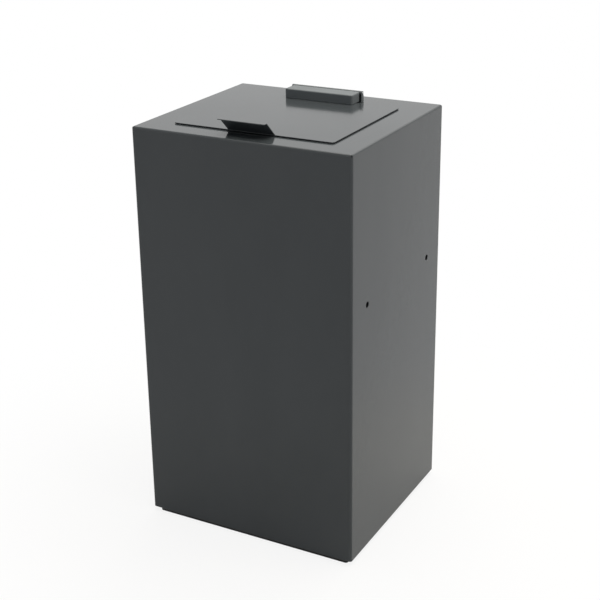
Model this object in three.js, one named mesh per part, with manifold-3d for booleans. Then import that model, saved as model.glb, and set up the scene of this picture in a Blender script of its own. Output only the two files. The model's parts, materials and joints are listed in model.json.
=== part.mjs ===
// A free-standing book drop box in folded sheet steel: a tall casing with a flap lid in its top,
// hung from a raised hinge, and a lockable rear door through which the books are taken out.
// Millimetres. +X is to the right of someone who faces the front, +Y runs to the rear and +Z is up.
// The origin is on the floor, under the middle of the casing.
import * as THREE from "three";
import { mergeVertices } from "three/addons/utils/BufferGeometryUtils.js";
import Module from "manifold-3d";

const wasm = await Module();
wasm.setup();

// ---- Driving dimensions -------------------------------------------------------------------
const WIDTH = 450;
const DEPTH = 400;
const CASING_HEIGHT = 800;
const PLINTH_HEIGHT = 10;
const SHEET = 1.5; // steel sheet of the casing, lid and door
const GAP = 0.3; // clearance between pieces that rest against each other
const RUNNING = 0.1; // clearance of a pin in its bore
const TOP_BEND = 4; // outer radius of the folds round the top
const CORNER_BEND = 5; // outer radius of the upright folds
const RELIEF = 1.2; // radius of the relief hole where three folds meet

const RETURN = 25; // width of the folded rims round the bottom and the rear opening
const SIDE_HOLE = { radius: 6, y: 136, z: 516 };

const OPENING = { halfWidth: 150, front: -135, rear: 125 }; // drop opening in the top
const LID = { halfWidth: 165, front: -150, rear: 130, lift: 1.2, corner: 6 };
const TAB = { halfWidth: 48, reach: 27, rise: 27, lip: 8 };
const STIFFENER = { halfWidth: 100, front: -120, rear: 100, depth: 9 };
const BUFFER = { radius: 5, inset: 7.5 };

const BLOCK = { halfWidth: 73.5, front: 110, rear: 145.7, height: 18.2, edge: 2, corner: 3 };
const LID_AXIS = { y: 150, lift: 18 }; // lid hinge axis, above the casing's top
const BARREL = { radius: 4, pin: 1.9, halfWidth: 77, knuckles: 5, space: 0.4 };
const LEAF = { thickness: 1.5, halfWidth: 71, lift: 3 };
const REST = { halfWidth: 68, depth: 13.8, height: 17, edge: 1.5, corner: 2 }; // still half's bar
const STOP_ANGLE = 86; // degrees at which the lid's stop arms meet the casing
const LID_ARM = { thickness: 3, front: 35, inner: 34.5, outer: 42, sweep: 131 };
const CATCH = { front: 6, reach: 5.5, height: 7.5 }; // round the rear rim, with the lid open

const DOOR = { recess: 2.5, gap: 3, depth: 18 };
const DOOR_AXIS = { x: -196, y: 195 };
const DOOR_BARREL = { radius: 4.5, length: 30, notch: 1, pin: 2.4, pinReach: 28 };
const DOOR_HINGE_TAB = { width: 18, thickness: 3 };
const DOOR_HINGE_HEIGHTS = { lower: 150, upper: 670 };
const RIB = { halfWidth: 25, brim: 15, depth: 15, inset: 30 };

const LOCK = { x: 172, z: 420, radius: 9, bezel: 11.5, bezelThickness: 2, plug: 5.9, length: 22 };
const KEY_SLOT = { halfWidth: 0.9, halfHeight: 3.8, depth: 8 };
const LOCK_NUT = { radius: 12.7, thickness: 4, sides: 6 };
const CAM = { length: 45, width: 18, corner: 8, thickness: 2.5, square: 7 };
const STRIKE = { height: 180, stopHeight: 40, inner: 188, outer: 219, face: 177 };
const DOOR_STOP_HEIGHTS = { lower: 120, upper: 700 };

const PLINTH = { sideInset: 12, frontInset: 7, wall: 20 };
const FLOOR_CLEARANCE = 1; // between the floor plate and the casing's walls
const MAT = { thickness: 8, sideInset: 29, frontInset: 28 };
const BOLT = { x: 206, y: 184, radius: 3, head: 5, headHeight: 3, bottom: 2 };

const BLOCK_SCREW = { radius: 2.5, head: 4.5, headHeight: 2.5, length: 13, y: 117 };
const LEAF_SCREW = { radius: 1.6, head: 3, headHeight: 1.8, length: 12, lift: 8 };
const FOOT_SCREW = { radius: 2, head: 4, headHeight: 2, length: 10 };
const CAM_SCREW = { radius: 2, head: 4.5, headHeight: 2, length: 8 };
const RIVET = { radius: 1.5, head: 2.6, headHeight: 1.2, inset: 15 };
const COLLAR = { brim: 15, depth: 20, armSlot: 5, slotReach: 9 };
const SCREW_PLACES = [-50, 0, 50]; // across the hinge, for the block and leaf screws

const both = (value) => [-value, value];
const span = (a, b) => [Math.min(a, b), Math.max(a, b)];

// ---- Sizes worked out from them -----------------------------------------------------------
const TOP = PLINTH_HEIGHT + CASING_HEIGHT;
const TOP_INSIDE = TOP - SHEET;
const REAR = DEPTH / 2;
const REAR_INSIDE = REAR - SHEET;
const LID_UNDERSIDE = TOP + LID.lift;
const LID_TOP = LID_UNDERSIDE + SHEET;
const LID_AXIS_Z = TOP + LID_AXIS.lift;
const LEAF_FRONT = LID_AXIS.y - BARREL.radius; // front face of the leaf that moves
const LEAF_REAR = LID_AXIS.y + BARREL.radius; // rear face of the leaf that is fixed
const REST_FRONT = LEAF_REAR - LEAF.thickness;
const FOOT_SCREW_Y = REST_FRONT + REST.depth / 2;
const FOOT_SCREW_TOP = TOP_INSIDE - GAP + FOOT_SCREW.length;
const ARM_X = STIFFENER.halfWidth + GAP; // inner face of each lid arm
const ARM_MIDDLE_Z = LID_UNDERSIDE - GAP - STIFFENER.depth / 2;
const ARM_RIVETS = { front: LID_ARM.front + RIVET.inset, rear: STIFFENER.rear - RIVET.inset };
const ARM_SIDES = { left: -1, right: 1 };
const FLOOR_UNDERSIDE = PLINTH_HEIGHT + SHEET + GAP;
const FLOOR_TOP = FLOOR_UNDERSIDE + SHEET;
const BOLT_PLACES = both(BOLT.x).flatMap((x) => both(BOLT.y).map((y) => [x, y]));
const DOOR_HALF_WIDTH = DOOR.gap - DOOR_AXIS.x;
const DOOR_OPENING = {
  halfWidth: DOOR_HALF_WIDTH + DOOR.gap,
  bottom: PLINTH_HEIGHT + RETURN,
  top: TOP - RETURN,
};
const DOOR_BOTTOM = DOOR_OPENING.bottom + DOOR.gap;
const DOOR_TOP = DOOR_OPENING.top - DOOR.gap;
const DOOR_FACE = REAR - DOOR.recess;
const DOOR_INSIDE = DOOR_FACE - SHEET;
const LOCK_CENTRE = [LOCK.x, LOCK.z];
const LOCK_INNER_END = DOOR_FACE - LOCK.length;
const BEZEL_SEAT = DOOR_FACE + GAP;
const CAM_FRONT = LOCK_INNER_END - 2 * GAP;
const CAM_BACK = CAM_FRONT - CAM.thickness;
const FINE = 24; // sides of a round piece
const COARSE = 16; // sides of a pin, bore or screw
const FOLD_STEPS = 4; // flats round a quarter of a fold
const THROUGH = 5; // how far a cutter runs past what it cuts

// ---- Materials ----------------------------------------------------------------------------
const finish = (color, roughness, metalness) =>
  new THREE.MeshStandardMaterial({ color, roughness, metalness });
const paint = () => finish(0x393d40, 0.35, 0.2);
const blackPaint = () => finish(0x17181a, 0.6, 0.1);
const zinc = () => finish(0xb4b6b4, 0.35, 0.9);
const chrome = () => finish(0xd2d4d6, 0.12, 1);
const rubber = () => finish(0x1d1d1e, 0.85, 0);
const felt = () => finish(0x3a3a3c, 0.95, 0);

// ---- Solids -------------------------------------------------------------------------------
function solid(geometry) {
  const bare = geometry.index ? geometry.clone() : geometry;
  bare.deleteAttribute("normal");
  bare.deleteAttribute("uv");
  const merged = mergeVertices(bare, 1e-4);
  return new wasm.Manifold(
    new wasm.Mesh({
      numProp: 3,
      vertProperties: merged.attributes.position.array,
      triVerts: new Uint32Array(merged.index.array),
    }),
  );
}

function geometryOf(body) {
  const mesh = body.getMesh();
  const geometry = new THREE.BufferGeometry();
  geometry.setAttribute("position", new THREE.BufferAttribute(mesh.vertProperties, 3));
  geometry.setIndex(new THREE.BufferAttribute(mesh.triVerts, 1));
  return geometry;
}

// A block between two limits on each axis.
function block([x0, x1], [y0, y1], [z0, z1]) {
  const geometry = new THREE.BoxGeometry(x1 - x0, y1 - y0, z1 - z0);
  geometry.translate((x0 + x1) / 2, (y0 + y1) / 2, (z0 + z1) / 2);
  return solid(geometry);
}

// Turns a shape drawn along +Z so that it runs along X, where its own x and y become Y and Z, or
// along Y, where they become Z and X.
const TURNS = {
  x: new THREE.Matrix4().set(0, 0, 1, 0, 1, 0, 0, 0, 0, 1, 0, 0, 0, 0, 0, 1),
  y: new THREE.Matrix4().set(0, 1, 0, 0, 0, 0, 1, 0, 1, 0, 0, 0, 0, 0, 0, 1),
  z: new THREE.Matrix4(),
};

// A flat outline pushed along an axis, from one coordinate to another; each arc gets so many steps.
function extrude(shape, axis, from, to, steps = FOLD_STEPS) {
  const geometry = new THREE.ExtrudeGeometry(shape, {
    depth: to - from,
    bevelEnabled: false,
    curveSegments: steps,
  });
  geometry.translate(0, 0, from);
  geometry.applyMatrix4(TURNS[axis]);
  return solid(geometry);
}

// A round bar along an axis; centre holds the two coordinates across it, in X, Y, Z order.
function bar(axis, radius, centre, from, to, sides = COARSE) {
  const geometry = new THREE.CylinderGeometry(radius, radius, to - from, sides);
  geometry.rotateX(Math.PI / 2);
  geometry.translate(0, 0, (from + to) / 2);
  geometry.applyMatrix4(TURNS[axis]);
  const [a, b] = centre;
  const shift = { x: [0, a, b], y: [a, 0, b], z: [a, b, 0] }[axis];
  geometry.translate(...shift);
  return solid(geometry);
}

function roundedRectangle([x0, x1], [y0, y1], radius) {
  const shape = new THREE.Shape();
  shape.moveTo(x0 + radius, y0);
  shape.lineTo(x1 - radius, y0);
  shape.absarc(x1 - radius, y0 + radius, radius, -Math.PI / 2, 0);
  shape.lineTo(x1, y1 - radius);
  shape.absarc(x1 - radius, y1 - radius, radius, 0, Math.PI / 2);
  shape.lineTo(x0 + radius, y1);
  shape.absarc(x0 + radius, y1 - radius, radius, Math.PI / 2, Math.PI);
  shape.lineTo(x0, y0 + radius);
  shape.absarc(x0 + radius, y0 + radius, radius, Math.PI, 1.5 * Math.PI);
  return shape;
}

// A plate with rounded corners in plan.
function plate(xs, ys, [z0, z1], radius) {
  return extrude(roundedRectangle(xs, ys, radius), "z", z0, z1);
}

// A block whose upright edges and top edges are rounded, and whose bottom is square.
function softBlock([x0, x1], [y0, y1], [z0, z1], edge, corner) {
  const shape = roundedRectangle([x0 + edge, x1 - edge], [y0 + edge, y1 - edge], corner - edge);
  const geometry = new THREE.ExtrudeGeometry(shape, {
    depth: z1 - z0,
    bevelThickness: edge,
    bevelSize: edge,
    bevelSegments: FOLD_STEPS,
    curveSegments: FOLD_STEPS,
  });
  geometry.translate(0, 0, z0 - edge);
  const below = block([x0 - edge, x1 + edge], [y0 - edge, y1 + edge], [z0 - 3 * edge, z0]);
  return solid(geometry).subtract(below);
}

// A sheet folded to an open line of points: the line is one face, and the sheet lies to its left.
function foldedStrip(points, thickness) {
  const line = points.map(([x, y]) => new THREE.Vector2(x, y));
  const leftOf = (a, b) => new THREE.Vector2(a.y - b.y, b.x - a.x).normalize();
  const other = line.map((point, i) => {
    const before = i > 0 ? leftOf(line[i - 1], point) : leftOf(point, line[i + 1]);
    const after = i < line.length - 1 ? leftOf(point, line[i + 1]) : before;
    const mitre = before.clone().add(after);
    return point.clone().addScaledVector(mitre, (2 * thickness) / mitre.lengthSq());
  });
  return new THREE.Shape([...line, ...other.reverse()]);
}

// ---- Building the group -------------------------------------------------------------------
const root = new THREE.Group();

function part(name, body, material) {
  const mesh = new THREE.Mesh(geometryOf(body), material);
  mesh.name = name;
  root.add(mesh);
}

// ---- Casing -------------------------------------------------------------------------------
function casingShell() {
  const halfX = WIDTH / 2;
  const halfY = DEPTH / 2;
  const outer = softBlock(both(halfX), both(halfY), [PLINTH_HEIGHT, TOP], TOP_BEND, CORNER_BEND);
  const hollow = softBlock(
    both(halfX - SHEET),
    both(halfY - SHEET),
    [PLINTH_HEIGHT + SHEET, TOP - SHEET],
    TOP_BEND - SHEET,
    CORNER_BEND - SHEET,
  );
  const below = block(
    both(halfX - RETURN),
    both(halfY - RETURN),
    [PLINTH_HEIGHT - THROUGH, PLINTH_HEIGHT + THROUGH],
  );
  const behind = block(
    both(DOOR_OPENING.halfWidth),
    [halfY - THROUGH, halfY + THROUGH],
    [DOOR_OPENING.bottom, DOOR_OPENING.top],
  );
  const drop = plate(
    both(OPENING.halfWidth),
    [OPENING.front, OPENING.rear],
    [TOP - THROUGH, TOP + THROUGH],
    SHEET,
  );
  let shell = outer.subtract(hollow).subtract(below).subtract(behind).subtract(drop);
  for (const y of both(SIDE_HOLE.y)) {
    shell = shell.subtract(
      bar("x", SIDE_HOLE.radius, [y, SIDE_HOLE.z], -halfX - THROUGH, halfX + THROUGH, FINE),
    );
  }
  for (const x of both(halfX - TOP_BEND / 2)) {
    for (const y of both(halfY - TOP_BEND / 2)) {
      shell = shell.subtract(bar("z", RELIEF, [x, y], TOP - TOP_BEND, TOP + THROUGH));
    }
  }
  for (const [x, y] of BOLT_PLACES) {
    shell = shell.subtract(
      bar("z", BOLT.radius + GAP, [x, y], PLINTH_HEIGHT - THROUGH, PLINTH_HEIGHT + THROUGH),
    );
  }
  for (const x of SCREW_PLACES) {
    shell = shell.subtract(
      bar("z", FOOT_SCREW.radius + GAP, [x, FOOT_SCREW_Y], TOP - THROUGH, TOP + THROUGH),
    );
  }
  return shell;
}

part("casing_shell", casingShell(), paint());

// The sleeve under the drop opening: it stiffens the rim and keeps books off the cut edge.
function openingCollar() {
  const top = TOP - SHEET - GAP;
  const { halfWidth, front, rear } = OPENING;
  const brim = block(
    both(halfWidth + COLLAR.brim),
    [front - COLLAR.brim, rear + COLLAR.brim],
    [top - SHEET, top],
  );
  const sleeve = block(
    both(halfWidth + SHEET),
    [front - SHEET, rear + SHEET],
    [top - COLLAR.depth, top],
  );
  const way = block(both(halfWidth), [front, rear], [top - 2 * COLLAR.depth, top + THROUGH]);
  let collar = brim.add(sleeve).subtract(way);
  for (const side of Object.values(ARM_SIDES)) {
    const slot = block(
      span(side * (ARM_X - COLLAR.armSlot), side * (ARM_X + LID_ARM.thickness + COLLAR.armSlot)),
      [rear - THROUGH, rear + COLLAR.slotReach],
      [top - 2 * COLLAR.depth, top + THROUGH],
    );
    collar = collar.subtract(slot);
  }
  return collar;
}

part("opening_collar", openingCollar(), paint());

// ---- Base ---------------------------------------------------------------------------------
function plinthRing() {
  const x = WIDTH / 2 - PLINTH.sideInset;
  const y = DEPTH / 2 - PLINTH.frontInset;
  const heights = [0, PLINTH_HEIGHT - GAP];
  const outer = plate(both(x), both(y), heights, CORNER_BEND);
  const inner = block(both(x - PLINTH.wall), both(y - PLINTH.wall), [-THROUGH, PLINTH_HEIGHT]);
  let ring = outer.subtract(inner);
  for (const place of BOLT_PLACES) {
    ring = ring.subtract(bar("z", BOLT.radius + GAP, place, BOLT.bottom - GAP, PLINTH_HEIGHT));
  }
  return ring;
}

function floorPlate() {
  let floor = plate(
    both(WIDTH / 2 - SHEET - FLOOR_CLEARANCE),
    both(DEPTH / 2 - SHEET - FLOOR_CLEARANCE),
    [FLOOR_UNDERSIDE, FLOOR_TOP],
    CORNER_BEND,
  );
  for (const place of BOLT_PLACES) {
    floor = floor.subtract(
      bar("z", BOLT.radius + GAP, place, FLOOR_UNDERSIDE - THROUGH, FLOOR_TOP + THROUGH),
    );
  }
  return floor;
}

part("plinth_ring", plinthRing(), blackPaint());
part("floor_plate", floorPlate(), paint());
part(
  "floor_mat",
  plate(
    both(WIDTH / 2 - MAT.sideInset),
    both(DEPTH / 2 - MAT.frontInset),
    [FLOOR_TOP + GAP, FLOOR_TOP + GAP + MAT.thickness],
    CORNER_BEND,
  ),
  felt(),
);

// A screw along an axis: head from the seat outwards, shank from the seat inwards.
function screw(axis, centre, seat, direction, size) {
  const head = span(seat, seat + direction * size.headHeight);
  const shank = span(seat, seat - direction * size.length);
  return bar(axis, size.head, centre, ...head).add(bar(axis, size.radius, centre, ...shank));
}

BOLT_PLACES.forEach((place, i) => {
  const seat = FLOOR_TOP + GAP;
  const size = { ...BOLT, length: seat - BOLT.bottom };
  part(`plinth_bolt_${i + 1}`, screw("z", place, seat, 1, size), zinc());
});

// ---- Lid ----------------------------------------------------------------------------------
function lidPlate() {
  const sheet = plate(
    both(LID.halfWidth),
    [LID.front, LID.rear],
    [LID_UNDERSIDE, LID_TOP],
    LID.corner,
  );
  const lipY = LID.front - TAB.reach;
  const lipZ = LID_UNDERSIDE + TAB.rise;
  const underside = [
    [LID.front + TAB.lip, LID_UNDERSIDE],
    [LID.front, LID_UNDERSIDE],
    [lipY, lipZ],
    [lipY - TAB.lip, lipZ],
  ];
  const tab = extrude(foldedStrip(underside, -SHEET), "x", -TAB.halfWidth, TAB.halfWidth);
  let lid = sheet.add(tab);
  for (const x of SCREW_PLACES) {
    lid = lid.subtract(
      bar("z", BLOCK_SCREW.radius + GAP, [x, BLOCK_SCREW.y], TOP, LID_TOP + THROUGH),
    );
  }
  return lid;
}

part("lid_plate", lidPlate(), paint());

// The shallow pan under the lid, which keeps it flat.
function lidStiffener() {
  const { halfWidth, front, rear, depth } = STIFFENER;
  const top = LID_UNDERSIDE - GAP;
  const outer = block(both(halfWidth), [front, rear], [top - depth, top]);
  const hollow = block(
    both(halfWidth - SHEET),
    [front + SHEET, rear - SHEET],
    [top - depth + SHEET, top + THROUGH],
  );
  let pan = outer.subtract(hollow);
  for (const y of Object.values(ARM_RIVETS)) {
    pan = pan.subtract(
      bar("x", RIVET.radius + GAP, [y, ARM_MIDDLE_Z], -halfWidth - THROUGH, halfWidth + THROUGH),
    );
  }
  return pan;
}

// The outline of a ring segment round the lid's hinge axis; its angles are measured down from
// the front, in degrees.
function ringSegment(inner, outer, from, to) {
  const angle = (degrees) => Math.PI + THREE.MathUtils.degToRad(degrees);
  const shape = new THREE.Shape();
  shape.absarc(LID_AXIS.y, LID_AXIS_Z, outer, angle(from), angle(to));
  shape.absarc(LID_AXIS.y, LID_AXIS_Z, inner, angle(to), angle(from), true);
  return shape;
}

// A block under the rear rim of the drop opening as the catch lies with the lid stopped open,
// turned back to where it lies with the lid shut.
function armCatch([x0, x1]) {
  const geometry = new THREE.BoxGeometry(x1 - x0, CATCH.front + CATCH.reach, CATCH.height);
  geometry.translate(
    (x0 + x1) / 2,
    OPENING.rear + (CATCH.reach - CATCH.front) / 2 - LID_AXIS.y,
    TOP_INSIDE - CATCH.height / 2 - LID_AXIS_Z,
  );
  geometry.rotateX(THREE.MathUtils.degToRad(STOP_ANGLE));
  geometry.translate(0, LID_AXIS.y, LID_AXIS_Z);
  return solid(geometry);
}

// A sickle-shaped arm beside the stiffener: as the lid opens it slides under the casing's top,
// until its catch meets the underside of the rear rim.
function lidArm([x0, x1]) {
  const top = LID_UNDERSIDE - GAP;
  const curve = ringSegment(LID_ARM.inner, LID_ARM.outer, 0, LID_ARM.sweep);
  const sickle = extrude(curve, "x", x0, x1, FINE);
  const above = block(
    [x0 - THROUGH, x1 + THROUGH],
    [LID_AXIS.y - 2 * LID_ARM.outer, LID_AXIS.y],
    [top, LID_AXIS_Z + THROUGH],
  );
  const shank = block(
    [x0, x1],
    [LID_ARM.front, LID_AXIS.y - (LID_ARM.inner + LID_ARM.outer) / 2],
    [top - STIFFENER.depth, top],
  );
  let arm = sickle.add(armCatch([x0, x1])).subtract(above).add(shank);
  for (const y of Object.values(ARM_RIVETS)) {
    arm = arm.subtract(
      bar("x", RIVET.radius + GAP, [y, ARM_MIDDLE_Z], x0 - THROUGH, x1 + THROUGH),
    );
  }
  return arm;
}

// A rivet through the stiffener's side and the arm beside it.
function armRivet(side, y) {
  const inside = side * (STIFFENER.halfWidth - SHEET - GAP);
  const outside = side * (ARM_X + LID_ARM.thickness + GAP);
  const centre = [y, ARM_MIDDLE_Z];
  const shank = bar("x", RIVET.radius, centre, ...span(inside, outside));
  const innerHead = span(inside - side * RIVET.headHeight, inside);
  const outerHead = span(outside, outside + side * RIVET.headHeight);
  return shank
    .add(bar("x", RIVET.head, centre, ...innerHead))
    .add(bar("x", RIVET.head, centre, ...outerHead));
}

part("lid_stiffener", lidStiffener(), paint());
for (const [name, side] of Object.entries(ARM_SIDES)) {
  const armFaces = span(side * ARM_X, side * (ARM_X + LID_ARM.thickness));
  part(`lid_stop_arm_${name}`, lidArm(armFaces), zinc());
  for (const [place, y] of Object.entries(ARM_RIVETS)) {
    part(`arm_rivet_${name}_${place}`, armRivet(side, y), zinc());
  }
}

const BUFFER_ROWS = { front: LID.front + BUFFER.inset, rear: LID.rear - BUFFER.inset };
for (const [name, side] of Object.entries(ARM_SIDES)) {
  for (const [place, y] of Object.entries(BUFFER_ROWS)) {
    const centre = [side * (LID.halfWidth - BUFFER.inset), y];
    const buffer = bar("z", BUFFER.radius, centre, TOP + GAP, LID_UNDERSIDE - GAP);
    part(`lid_buffer_${name}_${place}`, buffer, rubber());
  }
}

// ---- Lid hinge ----------------------------------------------------------------------------
// The block that lifts the hinge above the casing's top and carries the lid.
function hingeBlock() {
  const bottom = LID_TOP + GAP;
  let body = softBlock(
    both(BLOCK.halfWidth),
    [BLOCK.front, BLOCK.rear],
    [bottom, bottom + BLOCK.height],
    BLOCK.edge,
    BLOCK.corner,
  );
  const upTo = LID_UNDERSIDE - GAP + BLOCK_SCREW.length + GAP;
  const inTo = LEAF_FRONT + LEAF.thickness - LEAF_SCREW.length - GAP;
  for (const x of SCREW_PLACES) {
    body = body
      .subtract(bar("z", BLOCK_SCREW.radius + GAP, [x, BLOCK_SCREW.y], TOP, upTo))
      .subtract(
        bar("y", LEAF_SCREW.radius + GAP, [x, TOP + LEAF_SCREW.lift], inTo, BLOCK.rear + THROUGH),
      );
  }
  return body;
}

// The limits across X of each knuckle, from left to right.
const KNUCKLE_STEP = (2 * BARREL.halfWidth + BARREL.space) / BARREL.knuckles;
const KNUCKLES = Array.from({ length: BARREL.knuckles }, (_, i) => [
  -BARREL.halfWidth + i * KNUCKLE_STEP,
  -BARREL.halfWidth + (i + 1) * KNUCKLE_STEP - BARREL.space,
]);

// Adds rolled knuckles to a leaf; y holds the faces of the leaf's sheet.
function withKnuckles(leaf, y, knuckles) {
  const centre = [LID_AXIS.y, LID_AXIS_Z];
  let hinge = leaf;
  for (const [x0, x1] of knuckles) {
    const web = block([x0, x1], y, [LID_AXIS_Z - 2 * BARREL.radius, LID_AXIS_Z]);
    hinge = hinge.add(web).add(bar("x", BARREL.radius, centre, x0, x1, FINE));
  }
  const reach = BARREL.halfWidth + THROUGH;
  return hinge.subtract(bar("x", BARREL.pin + RUNNING, centre, -reach, reach));
}

const LEAF_EDGE = LID_AXIS_Z - BARREL.radius - BARREL.space;
const isMoving = (knuckle, i) => i % 2 === 1;

function movingLeaf() {
  const y = [LEAF_FRONT, LEAF_FRONT + LEAF.thickness];
  const sheet = block(both(LEAF.halfWidth), y, [TOP + LEAF.lift, LEAF_EDGE]);
  let leaf = withKnuckles(sheet, y, KNUCKLES.filter(isMoving));
  for (const x of SCREW_PLACES) {
    const centre = [x, TOP + LEAF_SCREW.lift];
    leaf = leaf.subtract(
      bar("y", LEAF_SCREW.radius + GAP, centre, y[0] - THROUGH, y[1] + THROUGH),
    );
  }
  return leaf;
}

// The fixed half: a solid bar on the casing's top, cut away round the moving knuckles.
function fixedLeaf() {
  const bottom = TOP + GAP;
  const y = [REST_FRONT, REST_FRONT + LEAF.thickness];
  const web = block(both(BARREL.halfWidth), [REST_FRONT, LEAF_REAR + 2 * BARREL.space], [
    bottom,
    LEAF_EDGE,
  ]);
  const rest = softBlock(
    both(REST.halfWidth),
    [LEAF_REAR + BARREL.space, REST_FRONT + REST.depth],
    [bottom, bottom + REST.height],
    REST.edge,
    REST.corner,
  );
  const still = KNUCKLES.filter((knuckle, i) => !isMoving(knuckle, i));
  let leaf = withKnuckles(web.add(rest), y, still);
  for (const x of SCREW_PLACES) {
    leaf = leaf.subtract(
      bar("z", FOOT_SCREW.radius + GAP, [x, FOOT_SCREW_Y], TOP, FOOT_SCREW_TOP + GAP),
    );
  }
  return leaf;
}

part("hinge_block", hingeBlock(), paint());
part("lid_hinge_leaf_moving", movingLeaf(), paint());
part("lid_hinge_leaf_fixed", fixedLeaf(), paint());
const PIN_REACH = BARREL.halfWidth + 2 * BARREL.space;
part("lid_hinge_pin", bar("x", BARREL.pin, [LID_AXIS.y, LID_AXIS_Z], ...both(PIN_REACH)), zinc());
SCREW_PLACES.forEach((x, i) => {
  const leafSeat = LEAF_FRONT + LEAF.thickness + GAP;
  const leafScrew = screw("y", [x, TOP + LEAF_SCREW.lift], leafSeat, 1, LEAF_SCREW);
  const blockScrew = screw("z", [x, BLOCK_SCREW.y], LID_UNDERSIDE - GAP, -1, BLOCK_SCREW);
  const footScrew = screw("z", [x, FOOT_SCREW_Y], TOP_INSIDE - GAP, -1, FOOT_SCREW);
  part(`block_screw_${i + 1}`, blockScrew, zinc());
  part(`leaf_screw_${i + 1}`, leafScrew, zinc());
  part(`foot_screw_${i + 1}`, footScrew, zinc());
});

// ---- Rear door ----------------------------------------------------------------------------
function rearDoor() {
  const outer = block(
    both(DOOR_HALF_WIDTH),
    [DOOR_FACE - DOOR.depth, DOOR_FACE],
    [DOOR_BOTTOM, DOOR_TOP],
  );
  const hollow = block(
    both(DOOR_HALF_WIDTH - SHEET),
    [DOOR_FACE - DOOR.depth - THROUGH, DOOR_INSIDE],
    [DOOR_BOTTOM + SHEET, DOOR_TOP - SHEET],
  );
  let door = outer.subtract(hollow);
  const reach = DOOR_BARREL.radius + DOOR_BARREL.notch;
  for (const z of Object.values(DOOR_HINGE_HEIGHTS)) {
    const notch = block(
      [-DOOR_HALF_WIDTH - THROUGH, DOOR_AXIS.x + reach],
      [DOOR_AXIS.y - reach, DOOR_FACE + THROUGH],
      [z - DOOR_BARREL.length - DOOR_BARREL.notch, z + DOOR_BARREL.length + DOOR_BARREL.notch],
    );
    door = door.subtract(notch);
  }
  const lockHole = bar(
    "y",
    LOCK.radius + GAP,
    LOCK_CENTRE,
    DOOR_INSIDE - THROUGH,
    DOOR_FACE + THROUGH,
    FINE,
  );
  return door.subtract(lockHole);
}

// A hat-shaped rib down the middle of the door's inner face.
function doorRib() {
  const seat = DOOR_INSIDE - GAP;
  const outline = [
    [-RIB.halfWidth - RIB.brim, seat],
    [-RIB.halfWidth, seat],
    [-RIB.halfWidth, seat - RIB.depth],
    [RIB.halfWidth, seat - RIB.depth],
    [RIB.halfWidth, seat],
    [RIB.halfWidth + RIB.brim, seat],
  ];
  return extrude(foldedStrip(outline, -SHEET), "z", DOOR_BOTTOM + RIB.inset, DOOR_TOP - RIB.inset);
}

// Half of a lift-off hinge: a barrel with a tab welded to the frame or to the door.
function hingeHalf([z0, z1], tabX, tabY) {
  const centre = [DOOR_AXIS.x, DOOR_AXIS.y];
  return bar("z", DOOR_BARREL.radius, centre, z0, z1, FINE)
    .add(block(tabX, tabY, [z0, z1]))
    .subtract(bar("z", DOOR_BARREL.pin + RUNNING, centre, z0 - THROUGH, z1 + THROUGH));
}

part("rear_door", rearDoor(), paint());
part("door_rib", doorRib(), paint());
for (const [name, z] of Object.entries(DOOR_HINGE_HEIGHTS)) {
  const frameTab = REAR_INSIDE - GAP;
  const doorTab = DOOR_INSIDE - GAP;
  const frameHalf = hingeHalf(
    [z - DOOR_BARREL.length, z - GAP / 2],
    [DOOR_AXIS.x - DOOR_HINGE_TAB.width, DOOR_AXIS.x],
    [frameTab - DOOR_HINGE_TAB.thickness, frameTab],
  );
  const doorHalf = hingeHalf(
    [z + GAP / 2, z + DOOR_BARREL.length],
    [DOOR_AXIS.x, DOOR_AXIS.x + DOOR_HINGE_TAB.width],
    [doorTab - DOOR_HINGE_TAB.thickness, doorTab],
  );
  const pin = bar(
    "z",
    DOOR_BARREL.pin,
    [DOOR_AXIS.x, DOOR_AXIS.y],
    z - DOOR_BARREL.pinReach,
    z + DOOR_BARREL.pinReach,
  );
  part(`door_hinge_${name}_frame_half`, frameHalf, paint());
  part(`door_hinge_${name}_door_half`, doorHalf, paint());
  part(`door_hinge_${name}_pin`, pin, zinc());
}

// ---- Lock ---------------------------------------------------------------------------------
function lockBody() {
  return bar("y", LOCK.radius, LOCK_CENTRE, LOCK_INNER_END, BEZEL_SEAT, FINE)
    .add(bar("y", LOCK.bezel, LOCK_CENTRE, BEZEL_SEAT, BEZEL_SEAT + LOCK.bezelThickness, FINE))
    .subtract(
      bar("y", LOCK.plug + RUNNING, LOCK_CENTRE, LOCK_INNER_END - THROUGH, REAR + THROUGH, FINE),
    );
}

function lockNut() {
  const seat = DOOR_INSIDE - GAP;
  const end = seat - LOCK_NUT.thickness;
  const hexagon = bar("y", LOCK_NUT.radius, LOCK_CENTRE, end, seat, LOCK_NUT.sides);
  return hexagon.subtract(
    bar("y", LOCK.radius + GAP, LOCK_CENTRE, end - THROUGH, seat + THROUGH, FINE),
  );
}

function lockPlug() {
  const face = BEZEL_SEAT + LOCK.bezelThickness - GAP;
  const halfTang = CAM.square / 2 - GAP;
  const tang = block(
    [LOCK.x - halfTang, LOCK.x + halfTang],
    [CAM_BACK, LOCK_INNER_END],
    [LOCK.z - halfTang, LOCK.z + halfTang],
  );
  const keySlot = block(
    [LOCK.x - KEY_SLOT.halfWidth, LOCK.x + KEY_SLOT.halfWidth],
    [face - KEY_SLOT.depth, face + THROUGH],
    [LOCK.z - KEY_SLOT.halfHeight, LOCK.z + KEY_SLOT.halfHeight],
  );
  const thread = bar(
    "y",
    CAM_SCREW.radius + GAP,
    LOCK_CENTRE,
    CAM_BACK - THROUGH,
    CAM_BACK + CAM_SCREW.length,
  );
  return bar("y", LOCK.plug, LOCK_CENTRE, LOCK_INNER_END, face, FINE)
    .add(tang)
    .subtract(keySlot)
    .subtract(thread);
}

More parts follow.
